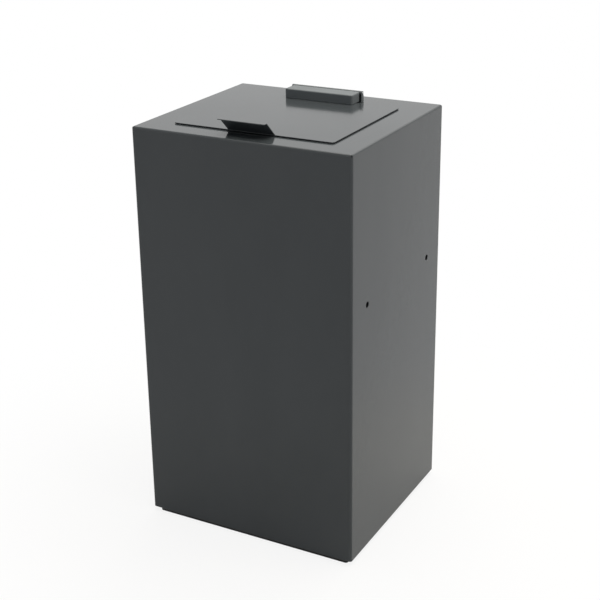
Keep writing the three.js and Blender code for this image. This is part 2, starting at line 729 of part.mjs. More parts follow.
// The cam hangs down when the door is free, and turns a quarter to lie behind the strike.
function lockCam() {
  const half = CAM.width / 2;
  const lever = extrude(
    roundedRectangle(
      [LOCK.z - CAM.length, LOCK.z + half],
      [LOCK.x - half, LOCK.x + half],
      CAM.corner,
    ),
    "y",
    CAM_BACK,
    CAM_FRONT,
  );
  const square = block(
    [LOCK.x - CAM.square / 2, LOCK.x + CAM.square / 2],
    [CAM_BACK - THROUGH, CAM_FRONT + THROUGH],
    [LOCK.z - CAM.square / 2, LOCK.z + CAM.square / 2],
  );
  return lever.subtract(square);
}

// A channel fixed inside the frame: its inner wall stops the door and holds the cam.
function strike(z, height) {
  const seat = REAR_INSIDE - GAP;
  const outline = [
    [STRIKE.inner, STRIKE.face],
    [STRIKE.outer, STRIKE.face],
    [STRIKE.outer, seat],
    [DOOR_OPENING.halfWidth + DOOR.gap, seat],
  ];
  return extrude(foldedStrip(outline, SHEET), "z", z - height / 2, z + height / 2);
}

part("lock_body", lockBody(), chrome());
part("lock_nut", lockNut(), zinc());
part("lock_plug", lockPlug(), chrome());
part("lock_cam", lockCam(), zinc());
part("cam_screw", screw("y", LOCK_CENTRE, CAM_BACK - GAP, -1, CAM_SCREW), zinc());
part("lock_strike", strike(LOCK.z, STRIKE.height), zinc());
for (const [name, z] of Object.entries(DOOR_STOP_HEIGHTS)) {
  part(`door_stop_${name}`, strike(z, STRIKE.stopHeight), zinc());
}

export default root;
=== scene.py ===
# %% [markdown]
# # A book drop box in powder-coated sheet steel
#
# A book drop box is a tall locked casing with a flap lid in its top. This lesson builds its looks
# around a finished engineering model: that model says where every piece is and how it moves, and
# this file gives the pieces their fine edges, bends and finishes.

# %% Load the engineering model
import bpy
import bmesh
import json
import math
from mathutils import Matrix, Vector, noise


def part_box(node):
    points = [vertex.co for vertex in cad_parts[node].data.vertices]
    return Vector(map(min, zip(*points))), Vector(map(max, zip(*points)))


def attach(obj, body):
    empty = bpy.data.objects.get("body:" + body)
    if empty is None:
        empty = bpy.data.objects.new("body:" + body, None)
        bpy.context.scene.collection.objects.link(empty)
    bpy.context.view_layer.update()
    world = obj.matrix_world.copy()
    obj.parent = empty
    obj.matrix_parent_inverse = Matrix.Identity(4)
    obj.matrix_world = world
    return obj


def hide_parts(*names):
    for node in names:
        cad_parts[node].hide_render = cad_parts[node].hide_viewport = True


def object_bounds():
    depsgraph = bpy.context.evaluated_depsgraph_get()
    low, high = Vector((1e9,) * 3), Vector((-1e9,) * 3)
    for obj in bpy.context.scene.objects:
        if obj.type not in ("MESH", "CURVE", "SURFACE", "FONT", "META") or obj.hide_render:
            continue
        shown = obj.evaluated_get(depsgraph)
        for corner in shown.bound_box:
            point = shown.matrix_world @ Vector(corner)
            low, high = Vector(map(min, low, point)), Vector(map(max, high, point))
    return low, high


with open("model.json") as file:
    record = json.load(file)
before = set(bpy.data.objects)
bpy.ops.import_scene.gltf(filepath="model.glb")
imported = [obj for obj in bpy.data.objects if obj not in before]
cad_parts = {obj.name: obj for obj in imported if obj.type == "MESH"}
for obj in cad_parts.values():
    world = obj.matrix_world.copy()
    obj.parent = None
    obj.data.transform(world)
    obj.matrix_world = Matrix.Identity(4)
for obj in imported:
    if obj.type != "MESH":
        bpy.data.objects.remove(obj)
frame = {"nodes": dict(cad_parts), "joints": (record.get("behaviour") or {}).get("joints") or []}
cad_low, cad_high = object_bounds()
print("size in metres:", [round(v, 4) for v in cad_high - cad_low])

# %% [markdown]
# ## The camera
#
# The box is seen from its front right corner and from above, with a long lens, so its upright
# edges draw together only a little. A camera's matrix can be written from three directions: the
# way to its right, the way up and the way back towards the viewer. Building it that way lets one
# small roll be added without any rotation puzzles.

# %% Place the camera
MM = 0.001
VIEW = {"azimuth": 28.398, "elevation": 20.997, "roll": -0.745, "distance": 2.538}
AIM_OFFSET = Vector((-0.4, 27.8, 64.3)) * MM
LENS_MM = 76.5
SHIFT_UP = -0.0467


def direction(azimuth, elevation):
    """The way out from the box to a place round it; azimuth 0 is in front and 90 on its right."""
    a, e = math.radians(azimuth), math.radians(elevation)
    return Vector((math.sin(a) * math.cos(e), -math.cos(a) * math.cos(e), math.sin(e)))


def place_camera():
    back = direction(VIEW["azimuth"], VIEW["elevation"])
    roll = math.radians(VIEW["roll"])
    level = Vector((0, 0, 1)).cross(back).normalized()
    upright = back.cross(level)
    right = level * math.cos(roll) + upright * math.sin(roll)
    up = upright * math.cos(roll) - level * math.sin(roll)
    camera = bpy.data.objects.new("camera", bpy.data.cameras.new("camera"))
    bpy.context.scene.collection.objects.link(camera)
    aim = (cad_low + cad_high) / 2 + AIM_OFFSET
    turn = Matrix((right, up, back)).transposed().to_4x4()
    camera.matrix_world = Matrix.Translation(aim + back * VIEW["distance"]) @ turn
    camera.data.lens = LENS_MM
    camera.data.shift_y = SHIFT_UP
    bpy.context.scene.camera = camera
    return camera


camera = place_camera()
print("camera at", [round(v, 3) for v in camera.location])

# %% [markdown]
# ## Colour helper
#
# Paint colours are picked on a screen, where numbers run from 0 to 255, but shaders count
# light. This helper turns one into the other.

# %% Screen colours to light
def screen(red, green, blue):
    def light(value):
        value /= 255
        return value / 12.92 if value <= 0.04045 else ((value + 0.055) / 1.055) ** 2.4

    return (light(red), light(green), light(blue), 1)


print("anthracite:", [round(v, 3) for v in screen(58, 62, 65)])

# %% [markdown]
# ## Shared effects as node groups
#
# Several finishes need the same effects: the fine ripple of a sprayed coat, edges rubbed a little
# lighter, which also paints a highlight along them, a haze of fingermarks and dust. Each one is a
# node group with named inputs, built once and placed in each material with its own values. A
# group gives out only masks and heights, and the shader itself stays in the material.

# %% Node group helpers
def new_group(name, inputs, outputs):
    """A shader node group whose sockets are numbers; inputs maps each name to its usual value."""
    group = bpy.data.node_groups.new(name, "ShaderNodeTree")
    for label, value in inputs.items():
        socket = group.interface.new_socket(label, in_out="INPUT", socket_type="NodeSocketFloat")
        socket.default_value = value
    for label in outputs:
        group.interface.new_socket(label, in_out="OUTPUT", socket_type="NodeSocketFloat")
    return group, group.nodes.new("NodeGroupInput"), group.nodes.new("NodeGroupOutput")


def node(tree, kind, links=(), **settings):
    """Adds a node: settings are its properties, links its inputs with their values or sockets."""
    made = tree.nodes.new(kind)
    for key, value in settings.items():
        setattr(made, key, value)
    for key, value in dict(links).items():
        if isinstance(value, bpy.types.NodeSocket):
            tree.links.new(value, made.inputs[key])
        else:
            made.inputs[key].default_value = value
    return made


def math_node(tree, operation, first, second=0.0):
    return node(tree, "ShaderNodeMath", {0: first, 1: second}, operation=operation).outputs[0]


def object_place(tree):
    return tree.nodes.new("ShaderNodeTexCoord").outputs["Object"]


def noise_texture(tree, place, scale, **settings):
    links = {"Vector": place, "Scale": scale, **settings}
    return node(tree, "ShaderNodeTexNoise", links).outputs["Fac"]


def remap(tree, value, low, high):
    """0 to 1 as a value goes from low to high."""
    ranged = node(tree, "ShaderNodeMapRange", {"Value": value, "From Min": low, "From Max": high})
    return ranged.outputs["Result"]


print("group helpers ready")

# %% [markdown]
# ### Orange peel
#
# Powder paint melts and flows as it bakes, and keeps a ripple about a millimetre or two wide, as
# on the skin of an orange. Two sizes of noise make it: a broad one for the ripple, and a fine one
# for the grain of the powder.

# %% Orange peel group
PEEL = {"Ripples per metre": 420, "Grain": 0.15}
GRAIN_FINENESS = 6.0


def make_orange_peel():
    group, given, result = new_group("orange peel", PEEL, ["Height"])
    place, scale = object_place(group), given.outputs["Ripples per metre"]
    ripple = noise_texture(group, place, scale, Detail=1.5, Roughness=0.4)
    grain = noise_texture(
        group, place, math_node(group, "MULTIPLY", scale, GRAIN_FINENESS), Detail=1.0
    )
    grain_part = math_node(group, "MULTIPLY", grain, given.outputs["Grain"])
    group.links.new(math_node(group, "ADD", ripple, grain_part), result.inputs["Height"])
    return group


orange_peel = make_orange_peel()
print("made:", orange_peel.name)

# %% [markdown]
# ### Edge wear and painted edge highlight
#
# Paint thins over a sharp edge, and hands and trolleys rub it. A Bevel node answers where edges
# are: it gives the normal that the surface would have if its edges were rounded, and where that
# differs from the true normal there is an edge. Noise breaks the line up, so that it looks rubbed
# and not drawn. The lighter tone that this mask gives is partly wear and partly a painted
# highlight along the edge.

# %% Edge wear and highlight group
EDGE_LIKENESS = (0.995, 0.86)
RUB = {"per_metre": 38.0, "range": (0.38, 0.68)}


def make_edge_wear_and_highlight():
    group, given, result = new_group("edge wear and highlight", {"Width": MM, "Amount": 0.5}, ["Mask"])
    rounded = node(group, "ShaderNodeBevel", {"Radius": given.outputs["Width"]}, samples=4)
    true_normal = group.nodes.new("ShaderNodeNewGeometry").outputs["Normal"]
    likeness = node(group, "ShaderNodeVectorMath", {
        0: rounded.outputs["Normal"], 1: true_normal,
    }, operation="DOT_PRODUCT").outputs["Value"]
    edge = remap(group, likeness, *EDGE_LIKENESS)
    rub = noise_texture(group, object_place(group), RUB["per_metre"], Detail=4.0, Roughness=0.65)
    mask = math_node(group, "MULTIPLY", edge, remap(group, rub, *RUB["range"]))
    strength = math_node(group, "MULTIPLY", mask, given.outputs["Amount"])
    group.links.new(strength, result.inputs["Mask"])
    return group


edge_wear_and_highlight = make_edge_wear_and_highlight()
print("made:", edge_wear_and_highlight.name)

# %% [markdown]
# ### Handling haze
#
# A smooth coat is never evenly clean. Wiping leaves broad soft patches that are a little duller,
# and fine dust settles on faces that look up. The group gives both as masks, and each material
# decides how much duller or paler they make it.

# %% Handling haze group
SMEAR_RANGE = (0.35, 0.7)
DUST = {"per_metre": 900.0, "range": (0.56, 0.74), "facing_up": (0.6, 1.0)}


def make_haze():
    patchiness = {"Patches per metre": 5.0}
    group, given, result = new_group("handling haze", patchiness, ["Smears", "Dust"])
    place = object_place(group)
    stretched = node(group, "ShaderNodeMapping", {"Vector": place, "Scale": (1.0, 1.0, 0.45)})
    patches = noise_texture(group, stretched.outputs["Vector"], given.outputs["Patches per metre"],
                            Detail=5.0, Roughness=0.6, Distortion=0.4)
    normal = group.nodes.new("ShaderNodeNewGeometry").outputs["Normal"]
    up = node(group, "ShaderNodeSeparateXYZ", {0: normal}).outputs["Z"]
    specks = noise_texture(group, place, DUST["per_metre"], Detail=2.0)
    dust = math_node(group, "MULTIPLY", remap(group, up, *DUST["facing_up"]),
                     remap(group, specks, *DUST["range"]))
    group.links.new(remap(group, patches, *SMEAR_RANGE), result.inputs["Smears"])
    group.links.new(dust, result.inputs["Dust"])
    return group


haze = make_haze()
print("made:", haze.name)

# %% [markdown]
# ## Finishes
#
# Every finish starts the same way: a Principled shader, and a few group nodes that feed its
# colour, its roughness and its bump. The first helper makes the empty material, the next ones
# place a group and mix two numbers or two colours by a mask, and the last one feeds the shader.

# %% Material helpers
def new_material(name, metallic=0.0, ior=1.5):
    material = bpy.data.materials.new(name)
    material.use_nodes = True
    shader = material.node_tree.nodes["Principled BSDF"]
    shader.inputs["Metallic"].default_value = metallic
    shader.inputs["IOR"].default_value = ior
    return material, material.node_tree, shader


def place_group(tree, group, values):
    return node(tree, "ShaderNodeGroup", values, node_tree=group)


def mix_colours(tree, mask, first, second):
    links = {0: mask, 6: first, 7: second}
    return node(tree, "ShaderNodeMix", links, data_type="RGBA").outputs[2]


def between(tree, mask, low, high):
    """A number from low to high, as a mask goes from 0 to 1."""
    links = {"Value": mask, "To Min": low, "To Max": high}
    return node(tree, "ShaderNodeMapRange", links).outputs["Result"]


def feed_shader(tree, shader, colour, roughness, height, depth):
    """Gives a shader its colour, its roughness and a bump of a depth in metres."""
    bump = node(tree, "ShaderNodeBump", {"Height": height, "Distance": depth})
    tree.links.new(colour, shader.inputs["Base Color"])
    tree.links.new(roughness, shader.inputs["Roughness"])
    tree.links.new(bump.outputs["Normal"], shader.inputs["Normal"])


print("material helpers ready")

# %% [markdown]
# ### Anthracite powder coat and its painted-light copies
#
# The casing, lid and door carry a smooth, fairly glossy anthracite coat: dark when it is looked
# at squarely, and almost a mirror at a low angle, as any smooth coat is. That needs no trick. A
# dark base colour and a low roughness give it. The raised hinge has a satin coat painted paler
# than the casing's, a painted lift that stands in for light on its shaded front and knuckles,
# and the plinth a near-black coat, which paints in the shade under the casing's edge. All three
# come from one function with different values.

# %% Powder coat materials
PAINT_IOR = 1.35
# Edge mask for the coats: rubbed wear and a painted edge highlight together.
PAINT_WEAR_AND_HIGHLIGHT = {"Width": 1.2 * MM, "Amount": 0.45}
PAINT_PATCHES = {"Patches per metre": 4.0}
PAINT_BUMP = 0.02 * MM
DUST_COLOUR = screen(150, 148, 142)
DUST_COVER = 0.05
DUST_ROUGHNESS = 0.06
COATS = {
    "anthracite powder coat": ((58, 62, 65), (54, 58, 61), (98, 101, 102), (0.12, 0.16)),
    # Painted light: the hinge coat is a paler copy of the anthracite, to lift the shade on the
    # hinge block and its knuckles.
    "satin anthracite lightened for shade": ((88, 93, 96), (83, 88, 91), (122, 125, 126), (0.38, 0.46)),
    # Painted shade: the plinth coat is near-black for the shade the ring lies in under the casing.
    "near-black coat for shaded plinth": ((26, 27, 28), (22, 23, 24), (60, 60, 60), (0.4, 0.5)),
}


def make_powder_coat(name, colour, deeper, rubbed_and_lit, gloss):
    """A coat with two near tones, a third for rubbed edges that also paints their highlight, and
    the limits of its roughness.
    """
    material, tree, shader = new_material(name, ior=PAINT_IOR)
    surface = place_group(tree, haze, PAINT_PATCHES)
    smears, dust = surface.outputs["Smears"], surface.outputs["Dust"]
    worn_and_lit = place_group(tree, edge_wear_and_highlight, PAINT_WEAR_AND_HIGHLIGHT).outputs["Mask"]
    base = mix_colours(tree, smears, screen(*colour), screen(*deeper))
    dusty = mix_colours(tree, math_node(tree, "MULTIPLY", dust, DUST_COVER), base, DUST_COLOUR)
    roughness = math_node(tree, "ADD", between(tree, smears, *gloss),
                          math_node(tree, "MULTIPLY", dust, DUST_ROUGHNESS))
    peel = place_group(tree, orange_peel, PEEL).outputs["Height"]
    # Rubbed edges are lighter: partly wear, partly a painted edge highlight.
    seen = mix_colours(tree, worn_and_lit, dusty, screen(*rubbed_and_lit))
    feed_shader(tree, shader, seen, roughness, peel, PAINT_BUMP)
    return material


coats = [make_powder_coat(name, *coat) for name, coat in COATS.items()]
anthracite, shade_lightened_coat, shade_dark_coat = coats
print("made:", [coat.name for coat in coats])

# %% [markdown]
# ### Zinc plate
#
# The hidden hardware is zinc-plated: a grey metal with pale crystal patches and fine drawing
# lines. A Voronoi texture gives each crystal one tone, and noise stretched along one direction
# gives the lines, in roughness and in a very shallow bump.

# %% Zinc plate
def make_zinc():
    material, tree, shader = new_material("zinc plate", metallic=1.0)
    place = object_place(tree)
    crystals = node(tree, "ShaderNodeTexVoronoi", {"Vector": place, "Scale": 260.0})
    tone = node(tree, "ShaderNodeSeparateColor", {0: crystals.outputs["Color"]}).outputs[0]
    base = mix_colours(tree, tone, screen(176, 180, 182), screen(202, 204, 203))
    # Lighter edges: partly wear, partly a painted edge highlight.
    worn_and_lit = place_group(tree, edge_wear_and_highlight, {"Width": 0.6 * MM, "Amount": 0.5}).outputs["Mask"]
    drawn = node(tree, "ShaderNodeMapping", {"Vector": place, "Scale": (1.0, 1.0, 14.0)})
    lines = noise_texture(tree, drawn.outputs["Vector"], 300.0, Detail=3.0)
    feed_shader(tree, shader, mix_colours(tree, worn_and_lit, base, screen(228, 228, 226)),
                between(tree, lines, 0.26, 0.42), lines, 0.01 * MM)
    return material


zinc = make_zinc()
print("made:", zinc.name)

# %% [markdown]
# ### Nickel-chrome plate
#
# The lock's face is polished, plated and often touched. Polished metal is mostly a mirror, so its
# character lies in small changes of roughness: the smears of the shared haze group, placed here
# with much smaller patches than on the painted sheet.

# %% Nickel-chrome plate
def make_plate():
    material, tree, shader = new_material("nickel-chrome plate", metallic=1.0)
    smears = place_group(tree, haze, {"Patches per metre": 60.0}).outputs["Smears"]
    colour = mix_colours(tree, smears, screen(214, 215, 216), screen(198, 198, 198))
    turning = noise_texture(tree, object_place(tree), 2200.0)
    feed_shader(tree, shader, colour, between(tree, smears, 0.08, 0.2), turning, 0.004 * MM)
    return material


plate = make_plate()
print("made:", plate.name)

# %% [markdown]
# ### Rubber and felt
#
# The pads under the lid are matte rubber with a fine mottle. The mat that catches the books is
# needled felt: short fibres in every direction, some lighter than others. Three stretched noises,
# each turned by another angle, lie over one another like the fibres, and the highest one wins at
# each point. A little sheen stands for the loose ends that catch the light.

# %% Rubber and felt
def make_rubber():
    material, tree, shader = new_material("black rubber")
    mottle = noise_texture(tree, object_place(tree), 700.0, Detail=4.0)
    colour = mix_colours(tree, mottle, screen(22, 22, 22), screen(38, 38, 38))
    feed_shader(tree, shader, colour, between(tree, mottle, 0.7, 0.9), mottle, 0.05 * MM)
    return material


def make_felt():
    material, tree, shader = new_material("needled felt")
    shader.inputs["Sheen Weight"].default_value = 0.3
    shader.inputs["Sheen Roughness"].default_value = 0.6
    place = object_place(tree)
    tangle = 0.0
    for turn in (0.4, 1.5, 2.6):
        laid = node(tree, "ShaderNodeMapping", {
            "Vector": place, "Rotation": (0.0, 0.0, turn), "Scale": (1.0, 9.0, 1.0),
        })
        fibres = noise_texture(tree, laid.outputs["Vector"], 220.0, Detail=4.0, Distortion=1.2)
        tangle = math_node(tree, "MAXIMUM", fibres, tangle)
    shade = remap(tree, tangle, 0.45, 0.8)
    colour = mix_colours(tree, shade, screen(46, 46, 48), screen(104, 104, 106))
    feed_shader(tree, shader, colour, between(tree, shade, 0.98, 0.85), tangle, 0.8 * MM)
    return material


rubber = make_rubber()
felt = make_felt()
print("made:", rubber.name, "and", felt.name)

# %% [markdown]
# ## Mesh helpers
#
# Nearly everything here is one of four shapes: a slab with rounded corners and edges, a sheet
# folded along a line, a turned round piece, or one of those with holes cut in it. One short
# function for each shape keeps the piece cells short. The first helper closes a stack of rings
# into a solid.

# %% Rings to a solid
def straight(axis, across, along):
    """A point from its two coordinates across an axis, in X, Y, Z order, and the one along it."""
    a, b = across
    return Vector({"x": (along, a, b), "y": (a, along, b), "z": (a, b, along)}[axis])


def stack(rings):
    """A closed mesh through rings of points with the same count."""
    mesh = bmesh.new()
    rows = [[mesh.verts.new(point) for point in ring] for ring in rings]
    for lower, upper in zip(rows, rows[1:]):
        for i in range(len(lower)):
            j = (i + 1) % len(lower)
            mesh.faces.new((lower[i], lower[j], upper[j], upper[i]))
    mesh.faces.new(rows[0])
    mesh.faces.new(rows[-1])
    bmesh.ops.recalc_face_normals(mesh, faces=mesh.faces)
    return mesh


def quarter_steps(steps):
    return [math.pi / 2 * i / steps for i in range(steps + 1)]


print("a quarter turn in 6 steps:", [round(t, 2) for t in quarter_steps(6)])

# %% [markdown]
# A slab is a stack of rounded rectangles. Near its ends the rectangles shrink along a quarter
# circle, which rounds the edges as a folded or moulded piece has them.

# %% Slabs
ROUND_STEPS = 6
TINY = 0.02 * MM


def rounded_ring(low, high, radius):
    """Points round a rectangle with round corners, anticlockwise."""
    radius = max(radius, TINY)
    centres = (
        (high[0] - radius, high[1] - radius),
        (low[0] + radius, high[1] - radius),
        (low[0] + radius, low[1] + radius),
        (high[0] - radius, low[1] + radius),
    )
    return [
        (x + radius * math.cos(t + i * math.pi / 2), y + radius * math.sin(t + i * math.pi / 2))
        for i, (x, y) in enumerate(centres)
        for t in quarter_steps(ROUND_STEPS)
    ]


def slab(low, high, corner, first=0.0, last=0.0, axis="z"):
    """A slab between two corners; corner, first and last are the radii of its corners and ends."""
    along = "xyz".index(axis)
    across = [i for i in range(3) if i != along]
    start, end = low[along], high[along]
    rows = [(first * (1 - math.sin(t)), start + first * (1 - math.cos(t)))
            for t in quarter_steps(ROUND_STEPS)] if first else [(0, start)]
    rows += [(last * (1 - math.cos(t)), end - last * (1 - math.sin(t)))
             for t in quarter_steps(ROUND_STEPS)] if last else [(0, end)]
    rings = []
    for shrink, height in rows:
        ring = rounded_ring([low[i] + shrink for i in across], [high[i] - shrink for i in across],
                            corner - shrink)
        rings.append([straight(axis, point, height) for point in ring])
    return stack(rings)


print("corners in a slab's ring:", len(rounded_ring((0, 0), (1, 1), 0.1)))

# %% [markdown]
# A turned piece, such as a pin, screw or rivet, is a stack of circles. Its profile is a list of
# radius and height pairs, as a lathe hand would cut it.

# %% Turned pieces
TURN_SIDES = 32
ROD_CHAMFER = 0.3 * MM
PAST = 6 * MM


def turned(profile, axis, centre, sides=TURN_SIDES):
    """A lathe piece; centre is a point on its axis, or the two coordinates across the axis."""
    if len(centre) == 3:
        centre = [value for letter, value in zip("xyz", centre) if letter != axis]
    turns = [2 * math.pi * i / sides for i in range(sides)]
    return stack([
        [straight(axis, (centre[0] + r * math.cos(t), centre[1] + r * math.sin(t)), along)
         for t in turns]
        for r, along in profile
    ])


def rod(axis, radius, centre, start, end, chamfer=ROD_CHAMFER):
    """A round bar with chamfered ends."""
    step = math.copysign(chamfer, end - start)
    return turned([
        (radius - chamfer, start),
        (radius, start + step),
        (radius, end - step),
        (radius - chamfer, end),
    ], axis, centre)


def drill(axis, radius, centre, *faces):
    """A rod for a hole through a sheet at one face, or through all that lies between two faces."""
    return rod(axis, radius, centre, faces[0] - PAST, faces[-1] + PAST)


print("turned pieces have", TURN_SIDES, "sides")

# %% [markdown]
# A folded sheet keeps its thickness round every bend: the inside of the bend has a small radius,
# and the outside has the same radius plus the sheet. Both are arcs about one centre.

# %% Folded sheets
BEND_STEPS = 5


def fillet(points, radii):
    """An open line with each inner point replaced by an arc of its radius."""
    line = [Vector(points[0])]
    for before, here, after, radius in zip(points, points[1:], points[2:], radii):
        here = Vector(here)
        back = (Vector(before) - here).normalized()
        ahead = (Vector(after) - here).normalized()
        half = back.angle(ahead) / 2
        centre = here + (back + ahead).normalized() * radius / math.sin(half)
        first = here + back * radius / math.tan(half) - centre
        last = here + ahead * radius / math.tan(half) - centre
        sweep = math.atan2(first.x * last.y - first.y * last.x, first.dot(last))
        for i in range(BEND_STEPS + 1):
            line.append(centre + Matrix.Rotation(sweep * i / BEND_STEPS, 2) @ first)
    line.append(Vector(points[-1]))
    return line


def folded_outline(points, thickness, inside=1.0 * MM):
    """The outline of a sheet folded along points, which are one face; it lies to their left."""
    points = [Vector(point) for point in points]
    lefts = [Vector((a.y - b.y, b.x - a.x)).normalized() for a, b in zip(points, points[1:])]
    other = []
    for i, point in enumerate(points):
        before, after = lefts[max(i - 1, 0)], lefts[min(i, len(lefts) - 1)]
        mitre = before + after
        other.append(point + mitre * (2 * thickness / mitre.length_squared))
    turns = [a.x * b.y - a.y * b.x for a, b in zip(lefts, lefts[1:])]
    near = [inside if turn * thickness > 0 else inside + abs(thickness) for turn in turns]
    far = [inside + abs(thickness) if turn * thickness > 0 else inside for turn in turns]
    return fillet(points, near) + fillet(other, far)[::-1]


def prism(outline, axis, start, end):
    """A closed outline pushed along an axis."""
    return stack([[straight(axis, point, along) for point in outline] for along in (start, end)])


one_bend = [(0, 0), (20 * MM, 0), (20 * MM, 20 * MM)]
print("points round one bend:", len(folded_outline(one_bend, 1.5 * MM)))

# %% [markdown]
# Holes are cut with the Boolean modifier, and its result is kept as the mesh. After that each
# piece gets a tiny bevel on its sharp edges, in one of a few widths, because no real edge is
# perfectly sharp and the highlight along it is what the eye reads as metal. A Weighted Normal
# modifier keeps the flat faces truly flat beside their rounded edges.

# %% Joining, cutting and finishing a piece
SMOOTH_ANGLE = math.radians(38)
CRISP, SHEARED, PUNCHED, EASED = 0.1 * MM, 0.15 * MM, 0.2 * MM, 0.3 * MM


def loose(name, mesh):
    """An object from a bmesh, not yet part of the model."""
    data = bpy.data.meshes.new(name)
    mesh.to_mesh(data)
    mesh.free()
    made = bpy.data.objects.new(name, data)
    bpy.context.scene.collection.objects.link(made)
    return made


def carve(piece, meshes, operation="DIFFERENCE"):
    """Cuts meshes out of a piece, or joins them to it."""
    for mesh in meshes:
        tool = loose("tool", mesh)
        step = piece.modifiers.new("carve", "BOOLEAN")
        step.operation = operation
        step.solver = "EXACT"
        step.object = tool
        graph = bpy.context.evaluated_depsgraph_get()
        result = bpy.data.meshes.new_from_object(piece.evaluated_get(graph))
        piece.modifiers.clear()
        piece.data = result
        bpy.data.objects.remove(tool)
    return piece


def dress(shape, material, edge=0.0):
    """Gives a shape its finish, smooth faces and softer edges."""
    shape.data.materials.clear()
    shape.data.materials.append(material)
    shape.data.shade_smooth()
    shape.data.set_sharp_from_angle(angle=SMOOTH_ANGLE)
    if edge:
        bevel = shape.modifiers.new("edges", "BEVEL")
        bevel.width = edge
        bevel.segments = 2
        bevel.limit_method = "ANGLE"
        bevel.angle_limit = SMOOTH_ANGLE
        bevel.miter_outer = "MITER_ARC"
    weigh = shape.modifiers.new("flat faces", "WEIGHTED_NORMAL")
    weigh.keep_sharp = True
    weigh.weight = 100


def finish_piece(piece, body, material, nodes, edge=0.0):
    """Dresses a piece and fits it to the model in place of engineering nodes."""
    dress(piece, material, edge)
    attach(piece, body)
    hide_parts(*nodes)
    print(f"{piece.name}: {len(piece.data.vertices)} points")


def middle(name):
    low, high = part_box(name)
    return (low + high) / 2


def ends(name, axis):
    """Where an engineering node starts and ends along an axis."""
    return [corner["xyz".index(axis)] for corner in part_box(name)]


def inset(low, high, by):
    return low + Vector(by), high - Vector(by)


def joint_place(name):
    return next(joint["pos_m"] for joint in frame["joints"] if joint["name"] == name)


print("smooth up to", round(math.degrees(SMOOTH_ANGLE)), "degrees")

# %% [markdown]
# ## The casing
#
# The casing is one sheet folded round, with a top folded down over it. Its upright edges have a
# radius of five millimetres and the top edge four. A second slab, one sheet smaller, hollows it,
# and then the drop opening, the rear doorway, the open bottom and the small holes are cut.

# %% Casing
SHEET = 1.5 * MM
CORNER = 5 * MM
TOP_FOLD = 4 * MM
BOTTOM_EDGE = 0.5 * MM
RETURN = 25 * MM
DOOR_GAP = 3 * MM
BRIM = 15 * MM
SIDE_HOLE = {"radius": 6 * MM, "y": 136 * MM, "z": 516 * MM}
RELIEF = 1.2 * MM
BOLT_HOLE = 3.3 * MM
FOOT_HOLE = 2.3 * MM


def opening(low, high, axis, face):
    """A slab that cuts an opening through the sheet at one face."""
    along = "xyz".index(axis)
    low[along], high[along] = face - PAST, face + PAST
    return slab(low, high, SHEET, axis=axis)


def make_casing():
    low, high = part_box("casing_shell")
    casing = loose("casing", slab(low, high, CORNER, BOTTOM_EDGE, TOP_FOLD))
    cuts = [
        slab(*inset(low, high, (SHEET,) * 3), CORNER - SHEET, BOTTOM_EDGE, TOP_FOLD - SHEET),
        opening(*inset(low, high, (RETURN, RETURN, 0)), "z", low.z),
        opening(*inset(*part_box("rear_door"), (-DOOR_GAP, 0, -DOOR_GAP)), "y", high.y),
        opening(*inset(*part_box("opening_collar"), (BRIM, BRIM, 0)), "z", high.z),
    ]
    for side in (-1, 1):
        for y in (-SIDE_HOLE["y"], SIDE_HOLE["y"]):
            cuts.append(drill("x", SIDE_HOLE["radius"], (y, SIDE_HOLE["z"]), side * high.x))
            corner = (side * (high.x - TOP_FOLD / 2), math.copysign(high.y - TOP_FOLD / 2, y))
            cuts.append(rod("z", RELIEF, corner, high.z - TOP_FOLD, high.z + PAST))
    cuts += [drill("z", BOLT_HOLE, middle(f"plinth_bolt_{i}"), low.z) for i in (1, 2, 3, 4)]
    cuts += [drill("z", FOOT_HOLE, middle(f"foot_screw_{i}"), high.z) for i in (1, 2, 3)]
    carve(casing, cuts)
    finish_piece(casing, "casing", anthracite, ["casing_shell"], SHEARED)


make_casing()

# %% [markdown]
# ## Plinth and floor plate
#
# The box stands on a near-black ring set back from its faces, so that it seems to float a
# little. Its near-black coat paints in the shade that lies under the casing's edge. The ring is a
# slab with a smaller slab cut out of it. The floor plate and the sleeve round the drop opening
# keep their engineering shapes and only get their finish.

# %% Plinth
PLINTH_WALL = 20 * MM
PLINTH_EDGE = 0.6 * MM


def make_plinth():
    low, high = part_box("plinth_ring")
    plinth = loose("plinth", slab(low, high, CORNER, PLINTH_EDGE, PLINTH_EDGE))
    carve(plinth, [slab(*inset(low, high, (PLINTH_WALL, PLINTH_WALL, -PAST)), SHEET)])
    # Painted shade: the ring's near-black coat stands for the shade under the casing's edge.
    finish_piece(plinth, "casing", shade_dark_coat, ["plinth_ring"], EASED)


make_plinth()
for name in ("floor_plate", "opening_collar"):
    dress(frame["nodes"][name], anthracite, PUNCHED)

# %% [markdown]
# ## The felt mat
#
# A mat on the floor plate catches the books quietly. It is soft, so a plain slab would look
# wrong. Its top is a fine grid whose edges roll over, with a slight unevenness where books have
# landed, and the lines of the grid lie closer together where it curves.

# %% Felt mat
MAT_GRID = 6 * MM
MAT_EDGE = 3 * MM
MAT_EDGE_STEPS = (0, 0.04, 0.16, 0.36, 0.64)
MAT_DIP = 0.5 * MM
DIPS_PER_METRE = 14


def mat_height(x, y, low, high):
    """How far the mat's top lies below its highest level at a point."""
    rim = min(x - low.x, high.x - x, y - low.y, high.y - y)
    roll = MAT_EDGE - math.sqrt(max(MAT_EDGE**2 - max(MAT_EDGE - rim, 0) ** 2, 0))
    dip = (0.5 + 0.5 * noise.noise(Vector((x, y, 0)) * DIPS_PER_METRE)) * MAT_DIP
    return min(roll + dip, high.z - low.z - MM)


def mat_lines(start, end):
    """Grid lines across the mat: close together over its rolled edges, then even."""
    edge = [MAT_EDGE * part for part in MAT_EDGE_STEPS]
    count = round((end - start - 2 * MAT_EDGE) / MAT_GRID)
    even = [start + MAT_EDGE + (end - start - 2 * MAT_EDGE) * i / count for i in range(count + 1)]
    return [start + e for e in edge] + even + [end - e for e in reversed(edge)]


